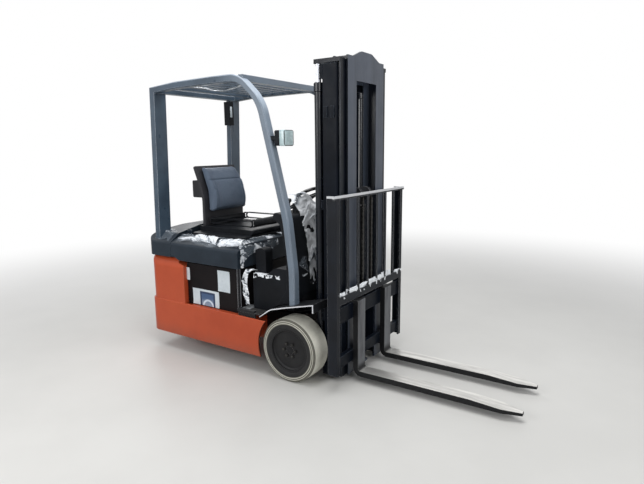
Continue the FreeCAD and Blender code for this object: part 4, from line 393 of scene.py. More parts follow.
def tyre_profile(seat, radius, half, beads=()):
    """A tyre's outline: a sidewall, half less a quartic of its place, with a ridge and a trough at
    each bead, then a round shoulder and a flat tread, all mirrored."""
    shoulder = 0.009
    up = np.linspace(seat, radius - shoulder, 40)
    share = (up - seat) / (radius - shoulder - seat)
    side = half - 0.004 * (2 * share - 1) ** 4
    for bead in beads:
        side = side + 0.0030 * np.exp(-((up - bead) / 0.0020) ** 2)
        side = side - 0.0022 * np.exp(-((up - bead - TROUGH_OFF) / 0.0018) ** 2)
    bend = np.linspace(0, np.pi / 2, 9)[1:]
    round_up = radius - shoulder + shoulder * np.sin(bend)
    round_side = side[-1] - shoulder + shoulder * np.cos(bend)
    half_outline = np.column_stack([np.append(up, round_up), np.append(side, round_side)])
    return np.concatenate([half_outline, (half_outline * (1, -1))[::-1]])


def worn_rubber(name, centre, radius, half):
    """Rubber: a pale tread, an olive grey sidewall, black next to the rim, bead crests painted pale as a
    highlight and bead troughs painted dark as shade.
    """
    rubber = new_finish(name)
    where = rubber.spot(centre)
    across = abs(rubber.along("Y", where))
    flat = rubber.node("VectorMath", {"operation": "MULTIPLY"}, {0: where, 1: (1, 0, 1)})
    out = rubber.length(flat)
    dirt = rubber.clouds(9, 0.42, 0.72, detail=5.0, rough=0.65)
    fine = rubber.clouds(120, 0.40, 0.75, rough=0.7)
    crest = sum(rubber.between(abs(out - bead), 0.0014, 0.0034, (1.0, 0.0)) for bead in BEADS)
    trough = sum(rubber.between(abs(out - bead - TROUGH_OFF), 0.0012, 0.0030, (1.0, 0.0)) for bead in BEADS)
    side = rubber.mixed(dirt * 0.45 + fine * 0.15, SIDEWALL, SIDEWALL_DARK)
    # Painted highlight: the bead crests take the pale tread colour.
    side = rubber.mixed(crest * 0.7, side, TREAD)
    # Painted shade: the troughs beside the beads are darkened.
    side = rubber.mixed(trough * 0.85, side, SIDEWALL_DARK)
    # The sidewall is black from the rim out to BLACK_TO.
    near_rim_black = rubber.between(out + 0.002 * dirt, BLACK_TO - 0.002, BLACK_TO + 0.002, (1.0, 0.0))
    side = rubber.mixed(near_rim_black, side, SIDEWALL_BLACK)
    tread = rubber.mixed(dirt * 0.30 + fine * 0.18, TREAD, TREAD_DARK)
    # Painted shade: a dark line round the tread's shoulder stands for the shade of a groove.
    seam = rubber.between(abs(across - (half - 0.0075)), 0.0018, 0.0040, (0.92, 0.0))
    shade = rubber.mixed(rubber.between(across, half - 0.009, half - 0.007), tread, side)
    shade = rubber.mixed(seam, shade, SIDEWALL_DARK)
    grain = rubber.noise(700, 2.0) + 0.6 * rubber.noise(90, 3.0)
    return rubber.surface(shade, rubber.between(dirt, 0.0, 1.0, (0.62, 0.82)), 0.3,
                          Normal=rubber.bumped(grain, 0.0004))


disc_paint = speckled("wheel_disc_paint", DISC, DISC_DARK, 0.50, 240, 0.0003, (0.08, 0.08, 0.075), 0.002)
nut_steel = speckled("oiled_nut_steel", (0.055, 0.053, 0.050), (0.030, 0.029, 0.028), 0.40, 300, 0.0002,
                     metallic=0.6)
nut_turns = np.arange(NUT_COUNT) * 2 * np.pi / NUT_COUNT
for side, word in ((-1, "right"), (1, "left")):
    low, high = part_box("front_tyre_" + word)
    centre, half, radius = (low + high) / 2, (high.y - low.y) / 2, (high.z - low.z) / 2
    rim_low, rim_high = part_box("front_rim_" + word)
    seat = (rim_high.z - rim_low.z) / 2 + 0.0003
    piece("drive_tyre_" + word, [lathe(tyre_profile(seat, radius, half, BEADS), centre, steps=160)],
          worn_rubber("drive_rubber_" + word, centre, radius, half), "front_wheel_" + word,
          ["front_tyre_" + word])
    dress(disc_paint, "front_rim_" + word)
    face = side * (half - 0.030)
    head = [(0.0, 0.019), (0.0088, 0.019), (0.0105, 0.0165), (0.0105, 0.002), (0.0, 0.002)]
    washer = [(0.0, 0.0028), (0.0155, 0.0028), (0.0165, 0.0018), (0.0165, -0.0005), (0.0, -0.0005)]
    ring = np.column_stack([np.cos(nut_turns) * NUT_CIRCLE, np.full(NUT_COUNT, face),
                            np.sin(nut_turns) * NUT_CIRCLE])
    nuts = [copies(lathe(outline, centre, (0, side, 0), steps, False), ring)
            for outline, steps in ((head, 6), (washer, 24))]
    piece("wheel_nuts_" + word, nuts, nut_steel, "front_wheel_" + word)

# Steered wheels
# Two small solid tyres side by side under the counterweight, on one axle pin.
low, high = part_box("rear_tyres")
steer_centre, steer_radius = (low + high) / 2, (high.z - low.z) / 2
rim_low, rim_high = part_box("rear_rims")
steer_seat = (rim_high.z - rim_low.z) / 2 + 0.0003
steer_half = STEER_WIDTH / 2
steer_spread = (high.y - low.y) / 2 - steer_half
steer_rubber = new_finish("steer_rubber")
steer_dirt = steer_rubber.clouds(12, 0.35, 0.7, detail=5.0, rough=0.65)
steer_rubber = steer_rubber.surface(steer_rubber.mixed(steer_dirt, TREAD_DARK, SIDEWALL_DARK), 0.78, 0.3,
                                    Normal=steer_rubber.bumped(steer_rubber.noise(300, 3.0), 0.0004))
steer_outline = tyre_profile(steer_seat, steer_radius, steer_half)
tyre_pair = [lathe(steer_outline, steer_centre + Vector((0, side * steer_spread, 0)), steps=128)
             for side in (-1, 1)]
piece("steer_tyres", tyre_pair, steer_rubber, "rear_wheels", ["rear_tyres"])
dress(disc_paint, "rear_rims")

# Battery
# A steel case behind the side opening, painted black, with three blank stickers: two plain
# white, and a larger one with a plain dark blue panel that is paler towards its foot.
CASE, CASE_DARK = (0.0075, 0.0055, 0.0062), (0.0045, 0.0036, 0.0042)
STICKERS = (("sticker_small", -1.033, -0.991, 0.586, 0.684), ("sticker_plain", -0.696, -0.576, 0.541, 0.700),
            ("sticker_blue", -0.966, -0.691, 0.406, 0.531))
STRIP_LOW, STRIP_HIGH = 0.448, 0.738
dress(speckled("battery_enamel", CASE, CASE_DARK, 0.42, 120, 0.0004, (0.05, 0.045, 0.045), 0.003,
               specular=0.10), "battery")


def sticker_grid(low_x, high_x, low_z, high_z, front, curl):
    """A thin card: a grid over its face whose corners curl away from the case by a fourth power."""
    across, up = np.meshgrid(np.linspace(-1, 1, 25), np.linspace(-1, 1, 25))
    lift = curl * (np.abs(across * up) ** 4) + 0.0004 * np.sin(5 * across + 2 * up) ** 2
    face = np.stack([(low_x + high_x) / 2 + across * (high_x - low_x) / 2, front - 0.0009 - lift,
                     (low_z + high_z) / 2 + up * (high_z - low_z) / 2], axis=-1)
    back = face + (0, 0.0008, 0)
    both = np.concatenate([face, back[::-1]])
    return both.reshape(-1, 3), grid_faces(50, 25, True, False)


def card_finish(name, pattern):
    """Aged white card. Its pattern is two framed dark blue panes, paler below, with a pale arc."""
    card = new_finish(name)
    aged = card.clouds(14, 0.40, 0.75, detail=5.0, rough=0.7)
    shade = card.mixed(aged * 0.5, (0.60, 0.66, 0.70), (0.40, 0.46, 0.50))
    if pattern:
        where = card.spot((-0.812, 0, 0.452))
        x, z = card.along("X", where), card.along("Z", where)
        wobble = 0.006 * card.noise(30, 3.0)
        panel, inner = (
            card.between(abs(x) + wobble, side - soft, side, (1.0, 0.0))
            * card.between(z + wobble, top - soft, top, (1.0, 0.0))
            for side, top, soft in ((0.083, 0.067, 0.003), (0.066, 0.051, 0.004)))
        cloud = card.between(z + 0.03 * card.noise(45, 4.0), -0.02, 0.035, (1.0, 0.0))
        hill = card.length(card.spot((-0.806, 0, 0.398), (1, 0, 1)))
        hill = card.between(abs(hill - 0.052), 0.005, 0.010, (1.0, 0.0))
        panes = card.mixed(inner, (0.016, 0.034, 0.085), (0.045, 0.090, 0.190))
        blue = card.mixed(inner * (cloud * 0.35 + hill * 0.75), panes, (0.62, 0.70, 0.80))
        shade = card.mixed(panel, shade, blue)
    return card.surface(shade, 0.38, 0.4, Normal=card.bumped(card.noise(60, 3.0), 0.0004))


case_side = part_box("battery")[0].y
for name, low_x, high_x, low_z, high_z in STICKERS:
    piece(name, [sticker_grid(low_x, high_x, low_z, high_z, case_side, 0.003)],
          card_finish(name + "_card", name == "sticker_blue"), "chassis")


def strip(section, start, end):
    """A rolled or folded strip: a closed section of offsets in metres, carried from one point to another."""
    section = np.asarray(section, float)
    ends = np.stack([section + start, section + end])
    count = len(section)
    points = np.concatenate([ends.reshape(-1, 3), [ends[0].mean(0), ends[1].mean(0)]])
    ring = np.arange(count)
    following = (ring + 1) % count
    sides = np.column_stack([ring, following, following + count, ring + count])
    caps = [np.column_stack([ring + lift, following + lift, middle, middle])
            for lift, middle in ((0, np.full(count, 2 * count)), (count, np.full(count, 2 * count + 1)))]
    return points, np.concatenate([sides] + caps)


galvanised = speckled("galvanised_strip", (0.42, 0.43, 0.46), (0.27, 0.28, 0.31), 0.42, 260, 0.0003,
                      metallic=0.35, specular=0.4)
corner_section = [(-0.017, -0.0016, 0), (0.0022, -0.0016, 0), (0.0022, 0.016, 0), (0.0004, 0.016, 0),
                  (0.0004, -0.0001, 0), (-0.017, -0.0001, 0)]
case_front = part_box("battery")[1].x
corner_strip = strip(corner_section, (case_front, case_side, STRIP_LOW), (case_front, case_side, STRIP_HIGH))
piece("battery_corner_strip", [corner_strip], galvanised, "chassis")

# Hood, rear cover and their clear film
# The hood is a grained blue-grey moulding hinged at its rear edge. Thin shipping film
# still lies over its deck in long crackled folds, white where it catches the light.
HOOD, HOOD_DARK, HOOD_RUB = (0.0155, 0.0240, 0.0350), (0.0100, 0.0160, 0.0245), (0.10, 0.13, 0.16)
HOOD_TOP, COVER_TOP, SHOULDER_TOP = 0.916, 0.930, 0.866
dress(speckled("grained_plastic", HOOD, HOOD_DARK, 0.46, 900, 0.0003, HOOD_RUB, 0.004, dust=0.08),
      "rear_cover", "battery_hood")


def crackle(u, v, seed, folds=9, size=3.0):
    """Sharp crossing folds: triangle waves in random directions, each shifted by the sum so far."""
    rng = np.random.default_rng(seed)
    total = np.zeros_like(u)
    for level in range(folds):
        way, phase = rng.uniform(0, np.pi), rng.uniform(0, 2)
        rate = size * 1.38 ** level
        wave = np.abs((rate * (u * np.cos(way) + v * np.sin(way)) + phase + 1.7 * total) % 2 - 1)
        total = total + (wave - 0.5) * 0.72 ** level
    return total


# Painted highlight: the high folds and random glints of the film are painted white and nearly opaque; the rest
# is a see-through grey-blue.
film_finish = new_finish("clear_film")
ridge_height = film_finish.node("Attribute", {"attribute_name": "ridge"}, output="Fac")
painted_glints = film_finish.between(film_finish.noise(40, 5.0, 0.75, twist=1.2), 0.54, 0.68)
painted_white_share = film_finish.between(ridge_height + 0.16 * painted_glints, 0.16, 0.62)
film_finish = film_finish.surface(
    film_finish.mixed(painted_white_share, (0.36, 0.42, 0.49), (0.86, 0.89, 0.93)), 0.22, 0.6,
    Alpha=film_finish.between(painted_white_share + 0.3 * painted_glints, 0.0, 0.9, (0.18, 0.96)),
    Normal=film_finish.bumped(film_finish.noise(70, 4.0, 0.7), 0.003))


def film(name, points, ridge, body):
    """A sheet of film over a grid of points, with the height of its folds kept as an attribute."""
    rows, columns = points.shape[:2]
    shell = (points.reshape(-1, 3), grid_faces(rows, columns))
    made = piece(name, [shell], film_finish, body, crease=180)
    kept = made.data.attributes.new("ridge", "FLOAT", "POINT")
    kept.data.foreach_set("value", ridge.ravel().astype(np.float32))
    return made


def hang(name, rows, fine, seed, puff, body, size=4.0, folds=8, bias=0.0):
    """Crumpled film over rows of guide points in millimetres: straight runs between them, their corners
    rounded by repeated averages of neighbours, then lifted along the normal by the folds of crackle."""
    rows = np.asarray(rows, float) / 1000
    for axis, count in enumerate(fine):
        place = np.linspace(0, rows.shape[axis] - 1, count)
        low = np.minimum(place.astype(int), rows.shape[axis] - 2)
        share = (place - low).reshape([-1 if k == axis else 1 for k in range(3)])
        rows = np.take(rows, low, axis) * (1 - share) + np.take(rows, low + 1, axis) * share
        for _ in range(max(2, count // 6)):
            inside = [slice(1, -1) if k == axis else slice(None) for k in range(3)]
            before = [slice(0, -2) if k == axis else slice(None) for k in range(3)]
            after = [slice(2, None) if k == axis else slice(None) for k in range(3)]
            rows[tuple(inside)] = (rows[tuple(before)] + 2 * rows[tuple(inside)] + rows[tuple(after)]) / 4
    normal = np.cross(np.gradient(rows, axis=0), np.gradient(rows, axis=1))
    normal = normal / np.maximum(np.linalg.norm(normal, axis=2, keepdims=True), 1e-9)
    down = np.linalg.norm(np.gradient(rows, axis=0), axis=2).cumsum(0)
    across = np.linalg.norm(np.gradient(rows, axis=1), axis=2).cumsum(1)
    folded = crackle(down * 4, across * 4, seed, folds, size)
    folded = (folded - folded.min()) / (folded.max() - folded.min())
    film(name, rows + normal * (puff * folded)[..., None], np.clip(folded + bias, 0, 1), body)


def deck_height(across, top, shoulder, flat_half, half):
    """The hood's outline over its width: flat in the middle, a slope to the shoulder, then down the side."""
    return np.interp(np.abs(across), [0, flat_half, half - 0.02, half],
                     [top, top, shoulder + 0.012, shoulder - 0.012])


hood_low, hood_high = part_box("battery_hood")
cover_low, cover_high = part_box("rear_cover")
for side, word in ((-1, "right"), (1, "left")):
    for name, low_x, high_x, top, node, body, seed in (
            ("hood_film_", hood_low.x + 0.05, hood_high.x - 0.030, HOOD_TOP, "battery_hood", "hood",
             3 if side < 0 else 5),
            ("cover_film_", cover_low.x + 0.075, cover_high.x - 0.045, COVER_TOP, "rear_cover", "chassis",
             11 if side < 0 else 17)):
        long = high_x - low_x
        u, v = np.meshgrid(np.linspace(0, 1, int(long / 0.004)), np.linspace(0, 1, 76), indexing="ij")
        folds = crackle(u * long * 1.1, v * 0.25 * 4.6, seed, size=4.0)
        folds = (folds - folds.min()) / (folds.max() - folds.min())
        edge = 0.478 + 0.012 * np.sin(9 * u + seed) + 0.006 * np.sin(23 * u)
        if body == "hood":
            inner, near_edge = 0.350 + 0.012 * np.sin(7 * u + 2 * seed), np.exp(-((v - 0.72) / 0.16) ** 2)
        else:
            inner, near_edge = 0.235 + 0.02 * np.sin(6 * u), 0.3 * v
        across = inner + (edge - inner) * v
        height = (deck_height(across, top, SHOULDER_TOP, 0.405, 0.50) + 0.002
                  + 0.016 * folds * (0.35 + 0.65 * np.sin(np.pi * v)))
        film(name + word, np.stack([low_x + long * u, side * across, height], axis=-1),
             np.clip(folds * 0.85 - 0.30 + 0.20 * near_edge, 0, 1), body)

nose_rows = [[(-570, y, 915), (-497, y, 912.5), (-468, y, 890), (-458.5, y, 858), (-457.5, y, 826 + drop)]
             for y, drop in ((-470, -60), (-400, -10), (-300, 12), (-200, -8), (-110, 6), (-40, 20))]
for word, mirrored in (("right", 1), ("left", -1)):
    rows = np.asarray(nose_rows) * (1, mirrored, 1)
    hang("nose_film_" + word, rows[::-mirrored], (110, 60), 21 + mirrored, 0.012, "hood",
         bias=-0.22)
for name, start, end, seed in (("film_wad_rear", (-955, -398), (-715, -418), 8),
                               ("film_wad_front", (-690, -436), (-480, -402), 14)):
    profile = ((-30, 3), (-18, 16), (0, 21), (16, 14), (27, 2))
    rows = [[(x, y + off, 912.5 + lift - 0.9 * max(0, abs(y + off) - 412)) for off, lift in profile]
            for x, y in np.linspace(start, end, 7)]
    hang(name, rows, (90, 30), seed, 0.013, "hood", size=7.0, bias=0.14)

# Floor and step
# A black steel floor plate, and a scuffed aluminium edge on each step.
STEEL_BLACK, STEEL_BLACK_DARK = (0.012, 0.013, 0.015), (0.007, 0.0075, 0.009)
STEP_TOP = 0.4403
dress(speckled("worn_black_steel", STEEL_BLACK, STEEL_BLACK_DARK, 0.50, 150, 0.0005,
               (0.26, 0.26, 0.27), 0.003, dust=0.12), "floor_plate")
step = new_finish("step_plate_aluminium")
dots = step.node("TexVoronoi", {"feature": "F1"}, {"Vector": step.spot(), "Scale": 60.0})
step_dirt = step.clouds(25, 0.42, 0.70, detail=5.0, rough=0.65)
step = step.surface(
    step.mixed(step_dirt, (0.34, 0.36, 0.38), (0.12, 0.125, 0.13)), 0.45, 0.3, Metallic=0.3,
    Normal=step.bumped(step.between(dots, 0.2, 0.5, (1.0, 0.0)), 0.001))
step_front, step_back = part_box("front_cowl")[0].x - 0.004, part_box("battery")[1].x + 0.006
step_section = [(0, 0, 0), (0, 0, 0.0022), (0, 0.002, 0.0030), (0, 0.128, 0.0030), (0, 0.130, 0.0022),
                (0, 0.130, 0)]
for word, corner in (("right", -0.484), ("left", 0.354)):
    edge = strip(step_section, (step_back, corner, STEP_TOP), (step_front, corner, STEP_TOP))
    piece("step_plate_" + word, [edge], step, "chassis")
# Black steel fenders with a painted highlight: their outermost faces and, more faintly, their sharp edges are
# painted pale.
fender = new_finish("fender_steel_highlit")
fender_rim_highlight = fender.between(abs(fender.along("Y")), 0.4985, 0.5000)
fender_highlight = fender_rim_highlight.maths("MAXIMUM", fender_rim_highlight, fender.edges(0.003) * 0.35)
fender_shade = fender.mixed(fender.clouds(9, 0.35, 0.68), STEEL_BLACK, STEEL_BLACK_DARK)
fender_normal = fender.bumped(fender.noise(150, 2.0), 0.0004, fender.rounded())
dress(fender.surface(fender.mixed(fender_highlight, fender_shade, (0.66, 0.67, 0.70)), 0.48,
                            Normal=fender_normal), "front_fenders")

# Cowl, column, levers and pedals
# Black moulded cowl between the front pillars with the column through it, four knobbed
# levers on the right and two rubber pedals.
TRIM, TRIM_DARK = (0.0080, 0.0095, 0.0125), (0.0048, 0.0056, 0.0075)
black_moulding = speckled("black_moulding", TRIM, TRIM_DARK, 0.48, 800, 0.0003, (0.045, 0.050, 0.058), 0.003,
                          specular=0.12)
dress(black_moulding, "front_cowl", "steering_column", "pillar_box", "head_lamps", "seat_base")
dress(speckled("gloss_black", (0.008, 0.009, 0.011), (0.005, 0.0055, 0.007), 0.26, 300, 0.0001,
               specular=0.3, coat=0.15), "control_levers", "steering_wheel")
dress(speckled("pedal_rubber_black", (0.018, 0.018, 0.018), (0.011, 0.011, 0.011), 0.75, 200, 0.0006,
               dust=0.2), "pedals")
console_rows = [
    [(x, -372, 707.5 + rise), (x, -398, 708.5 + rise), (x, -406.5, 700 + rise), (x, -407.5, 684 + rise - drop)]
    for x, rise, drop in ((-404, 0, 20), (-350, 1, 0), (-290, 2, 12), (-230, 4, 0), (-165, 6, 10))]
hang("console_film", console_rows, (90, 28), 31, 0.009, "chassis",
     size=6.0, bias=0.16)
gap_rows = [[(x - wide, y - 10, z), (x, y, z + 2), (x + wide, y + 6, z)] for x, y, z, wide in (
    (-392, -400, 716, 20), (-424, -424, 726, 24), (-446, -432, 700, 16), (-458, -436, 650, 22),
    (-454, -434, 610, 12), (-452, -432, 560, 24), (-446, -430, 515, 14), (-442, -428, 470, 12))]
hang("gap_film", gap_rows, (120, 26), 37, 0.014, "chassis", size=9.0)
tail_rows = [
    [(-470, -432, 902), (-470, -450, 902), (-474, -466, 898)],
    [(-454.5, -432, 868), (-454.5, -450, 868), (-454.5, -468, 868)],
    [(-454.5, -434, 815), (-454.5, -450, 812), (-455.5, -470, 815)],
    [(-454.5, -440, 770), (-454.5, -456, 770), (-456.5, -474, 775)],
    [(-454.5, -442, 742), (-454.5, -452, 738), (-456.5, -466, 742)]]
hang("nose_tail_film", tail_rows, (70, 22), 41, 0.009, "hood", size=9.0, bias=-0.04)
dash_rows = [
    [(-100, -40, 1186), (-110, -96, 1224), (-120, -140, 1262),
     (-135, -196, 1286), (-150, -262, 1276), (-165, -330, 1262)],
    [(-66, -20, 1172), (-70, -90, 1214), (-75, -140, 1262),
     (-85, -196, 1292), (-98, -262, 1268), (-110, -330, 1235)],
    [(-44, -10, 1116), (-46, -80, 1140), (-50, -140, 1170),
     (-62, -190, 1190), (-72, -250, 1205), (-82, -318, 1205)],
    [(-44, -10, 1075), (-46, -80, 1085), (-48, -140, 1100),
     (-50, -190, 1115), (-54, -240, 1130), (-56, -286, 1150)],
    [(-42, -40, 1025), (-43, -90, 1030), (-44, -140, 1035),
     (-45, -190, 1040), (-46, -230, 1045), (-47, -270, 1050)],
    [(-35, -80, 940), (-35, -120, 942), (-35, -150, 944),
     (-36, -180, 946), (-36, -210, 948), (-37, -240, 950)],
    [(-26, -100, 820), (-26, -130, 822), (-26, -155, 824),
     (-27, -180, 826), (-27, -205, 828), (-28, -232, 830)],
    [(-16, -130, 710), (-16, -150, 712), (-16, -175, 714),
     (-17, -200, 716), (-17, -218, 718), (-18, -240, 720)],
    [(-7, -172, 630), (-7, -186, 632), (-7, -200, 634), (-8, -214, 636), (-8, -225, 638), (-9, -236, 640)]]
hang("dash_film", dash_rows, (190, 90), 47, 0.018, "chassis",
     size=2.2, folds=7, bias=0.10)
side_rows = [
    [(-41, -285, 905), (-42, -310, 915), (-43, -360, 925), (-46, -392, 930)],
    [(-32, -270, 830), (-33, -310, 840), (-34, -350, 845), (-38, -392, 850)],
    [(-23, -252, 745), (-24, -300, 755), (-26, -350, 765), (-30, -392, 770)],
    [(-18, -275, 715), (-19, -310, 705), (-20, -350, 705), (-24, -388, 715)]]
hang("cowl_side_film", side_rows, (70, 50), 53, 0.008, "chassis",
     size=3.0, bias=-0.10)

# Seat
# Vinyl over foam: a black cushion with a grey-blue back, each swollen against its seams.
VINYL_GREY, VINYL_GREY_DARK = (0.112, 0.146, 0.200), (0.078, 0.103, 0.144)
VINYL_BLACK, VINYL_BLACK_DARK = (0.0060, 0.0075, 0.0105), (0.0038, 0.0046, 0.0065)


def rounded_block(half, radius, steps):
    """A block with round edges: a ball's grid whose eight corners are moved apart to the block's."""
    quarter = np.linspace(0, np.pi / 2, steps)
    lon = np.concatenate([quarter + sector * np.pi / 2 for sector in range(4)])
    lat = np.concatenate([quarter - np.pi / 2, quarter])
    lon_sign = np.repeat([(1, 1), (-1, 1), (-1, -1), (1, -1)], steps, axis=0)
    lat_sign = np.repeat([-1, 1], steps)
    ball = np.stack([np.cos(lat)[:, None] * np.cos(lon), np.cos(lat)[:, None] * np.sin(lon),
                     np.sin(lat)[:, None] * np.ones_like(lon)], axis=-1)
    inner = np.asarray(half) - radius
    corner = np.stack([np.broadcast_to(sign, (len(lat), len(lon)))
                       for sign in (lon_sign[:, 0], lon_sign[:, 1], lat_sign[:, None])], axis=-1)
    return (corner * inner + radius * ball).reshape(-1, 3), grid_faces(len(lat), len(lon), False, True)


def vinyl(name, shade, dark):
    """Embossed vinyl: a leather-like grain of small cells, soft creases, duller where it is rubbed."""
    cloth = new_finish(name)
    cells = cloth.node("TexVoronoi", {"feature": "DISTANCE_TO_EDGE"},
                       {"Vector": cloth.spot(), "Scale": 420.0})
    pebbled = cloth.between(cells, 0.0, 0.25)
    creases = cloth.noise(16, 5.0, 0.65, twist=0.8)
    rubbed = cloth.clouds(5, 0.38, 0.68)
    return cloth.surface(cloth.mixed(rubbed * 0.6 + 0.25 * (1.0 - pebbled), shade, dark),
                         cloth.between(rubbed, 0.0, 1.0, (0.44, 0.60)), 0.18,
                         Normal=cloth.bumped(pebbled * 0.35 + creases * 1.1, 0.0012))


def stuffed(name, shell, shape, finish, body, stands_for, seam, cap=0.024):
    """A padded piece: a start block remeshed evenly, blown up as cloth with its travel capped,
    then shaped, smoothed and pressed in along its seams."""
    made = piece(name, [shell], finish, body, stands_for, crease=180)
    mesh = made.data
    bpy.context.view_layer.objects.active = made
    made.select_set(True)
    mesh.remesh_voxel_size = 0.006
    bpy.ops.object.voxel_remesh()
    count = len(mesh.vertices)
    start = np.empty(count * 3)
    mesh.vertices.foreach_get("co", start)
    blown = start.copy()
    cloth = made.modifiers.new("swell", "CLOTH")
    cloth.settings.use_pressure = True
    cloth.settings.uniform_pressure_force = 4.0
    cloth.settings.effector_weights.gravity = 0.0
    for moment in range(1, 21):
        bpy.context.scene.frame_set(moment)
    swollen = made.evaluated_get(bpy.context.evaluated_depsgraph_get()).data
    swollen.vertices.foreach_get("co", blown)
    made.modifiers.remove(cloth)
    bpy.context.scene.frame_set(1)
    travel = (blown - start).reshape(-1, 3)
    reach = np.linalg.norm(travel, axis=1, keepdims=True)
    points = start.reshape(-1, 3) + travel * np.minimum(1.0, cap / np.maximum(reach, 1e-9))
    points = seam(points)
    mesh.vertices.foreach_set("co", shape(points).ravel())
    mesh.update()
    finer = made.modifiers.new("finer", "SUBSURF")
    finer.levels = finer.render_levels = 1
    mesh.shade_smooth()
    return made


def groove(distance, wide, deep):
    """A sewn line: a narrow dip with a soft shoulder each side."""
    return -deep * np.exp(-(distance / wide) ** 2) - 0.35 * deep * np.exp(-(distance / (3.2 * wide)) ** 2)


cushion_low, cushion_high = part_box("seat_cushion")
cushion_middle, cushion_half = (cushion_low + cushion_high) / 2, (cushion_high - cushion_low) / 2
BACK_FOOT = -1.006
back_low, back_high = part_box("seat_back")
back_middle, back_half = (back_low + back_high) / 2, (back_high - back_low) / 2


def cushion_seams(points):
    """Two lines from front to back part the side rolls from the seat panel, and one crosses near the
    front. The middle is sat in by a bell-shaped dip."""
    moved = points.copy()
    top = np.clip(points[:, 2] / 0.03, 0, 1)
    line = np.abs(np.abs(points[:, 1]) - 0.150 - 0.02 * (points[:, 0] / 0.24) ** 2)
    cross = np.where(np.abs(points[:, 1]) < 0.165, np.abs(points[:, 0] - 0.105), 1.0)
    moved[:, 2] += top * (groove(line, 0.004, 0.007) + groove(cross, 0.004, 0.006))
    dip = np.exp(-(points[:, 1] / 0.12) ** 2) * np.exp(-((points[:, 0] + 0.03) / 0.14) ** 2)
    moved[:, 2] -= top * 0.006 * dip
    return moved


def cushion_place(points):
    """Pull the sides in between the corners, lift the front roll and set the pad on its base."""
    x, y, z = points.T
    tall = cushion_half.z
    waist = 1 - 0.025 * (1 - (x / 0.25) ** 2) * (np.abs(y) > 0.15)
    rise = 0.010 * np.clip((x - 0.10) / 0.14, 0, 1) ** 2
    low = np.clip(z, -tall + 0.0005, None)
    return np.column_stack([x, y * waist, low + rise * (z > 0)]) + np.array(cushion_middle)


cushion_block = rounded_block(np.array(cushion_half) - (0.014, 0.014, 0.012), 0.026, 7)
stuffed("seat_cushion_pad", cushion_block, cushion_place, vinyl("vinyl_black", VINYL_BLACK, VINYL_BLACK_DARK),
        "hood", ["seat_cushion"], cushion_seams)


def back_seams(points):
    """One line crosses near the top, and two run down the sides of the back panel."""
    moved = points.copy()
    front = np.clip(points[:, 0] / 0.012, 0, 1)
    cross = np.abs(points[:, 2] - 0.075)
    line = np.where(points[:, 2] < 0.072, np.abs(np.abs(points[:, 1]) - 0.158), 1.0)
    moved[:, 0] += front * (groove(cross, 0.0035, 0.008) + groove(line, 0.0035, 0.005))
    return moved


def back_place(points):
    """Bend the pad to the shell: its middle line leans back by a square of its height, and it
    is thickest at a third of its height and narrower at the top."""
    depth, y, up = points.T
    share = (up + back_half.z) / (2 * back_half.z)
    middle = BACK_FOOT - 0.205 * (share - 0.25) ** 2
    thick = 0.92 + 0.42 * np.sin(np.pi * np.clip(share, 0, 1) ** 0.8) - 0.30 * share
    slim = 0.965 - 0.62 * np.clip(share - 0.62, 0, 1) ** 1.6 - 0.03 * (1 - share)
    wing = 0.014 * (np.abs(y) / back_half.y) ** 4
    return np.column_stack([middle + depth * thick + wing * (depth > 0), y * slim, up + back_middle.z])


back_block = rounded_block((0.024, back_half.y - 0.012, back_half.z - 0.010), 0.020, 7)
stuffed("seat_back_pad", back_block, back_place, vinyl("vinyl_grey", VINYL_GREY, VINYL_GREY_DARK),
        "hood", ["seat_back"], back_seams, cap=0.012)

# Overhead guard
# Rolled steel side frames and pillars in blue-grey enamel, painted paler on top, towards the front and along
# the edges as highlights, with flat bars across the roof and two lamps on its pillars.
# GUARD_HIGHLIGHT is the pale blue of the painted highlights on the guard.
GUARD, GUARD_DARK, GUARD_HIGHLIGHT = (0.056, 0.086, 0.122), (0.036, 0.056, 0.082), (0.40, 0.47, 0.56)
LAMP_SIDE, CARD_HEIGHT = 0.420, 1.898
guard = new_finish("guard_enamel")
# Painted highlight: upward faces, the front of the guard and its sharp edges are turned paler.
guard_top_highlight = guard.between(guard.facing("Z") + 0.35 * guard.facing("X"), 0.30, 0.95)
guard_front_highlight = guard.between(guard.along("X"), -0.66, -0.36)
guard_edge_highlight = guard.edges(0.006) * guard.clouds(9, 0.25, 0.50, (0.45, 1.0), rough=0.7)
guard_shade = guard.mixed(guard.clouds(4.5, 0.35, 0.68), GUARD, GUARD_DARK)
guard_shade = guard.mixed(guard_front_highlight * 0.26, guard_shade, GUARD_HIGHLIGHT)
guard_shade = guard.mixed(guard_top_highlight * 0.62, guard_shade, GUARD_HIGHLIGHT)
dress(guard.surface(
    guard.mixed(guard_edge_highlight, guard_shade, (0.60, 0.66, 0.74)),
    guard.clouds(11, 0.25, 0.75, (0.26, 0.42)), 0.4, Coat_Weight=0.2, Coat_Roughness=0.15,
    Normal=guard.grain(320, 0.0002, 0.005)), "overhead_guard", "guard_roof_bars")
lens_finish = new_finish("lamp_lens_frosted")
lens_ribs = lens_finish.node("TexWave", {"wave_type": "BANDS", "bands_direction": "Y"},
                             {"Vector": lens_finish.spot(), "Scale": 26.0})
lens_clouds = lens_finish.clouds(30, 0.35, 0.65, rough=0.55)
lens_finish = lens_finish.surface(lens_finish.mixed(lens_clouds, (0.56, 0.68, 0.70), (0.40, 0.52, 0.54)),
                                  0.16, 0.5, Normal=lens_finish.bumped(lens_ribs, 0.0008))
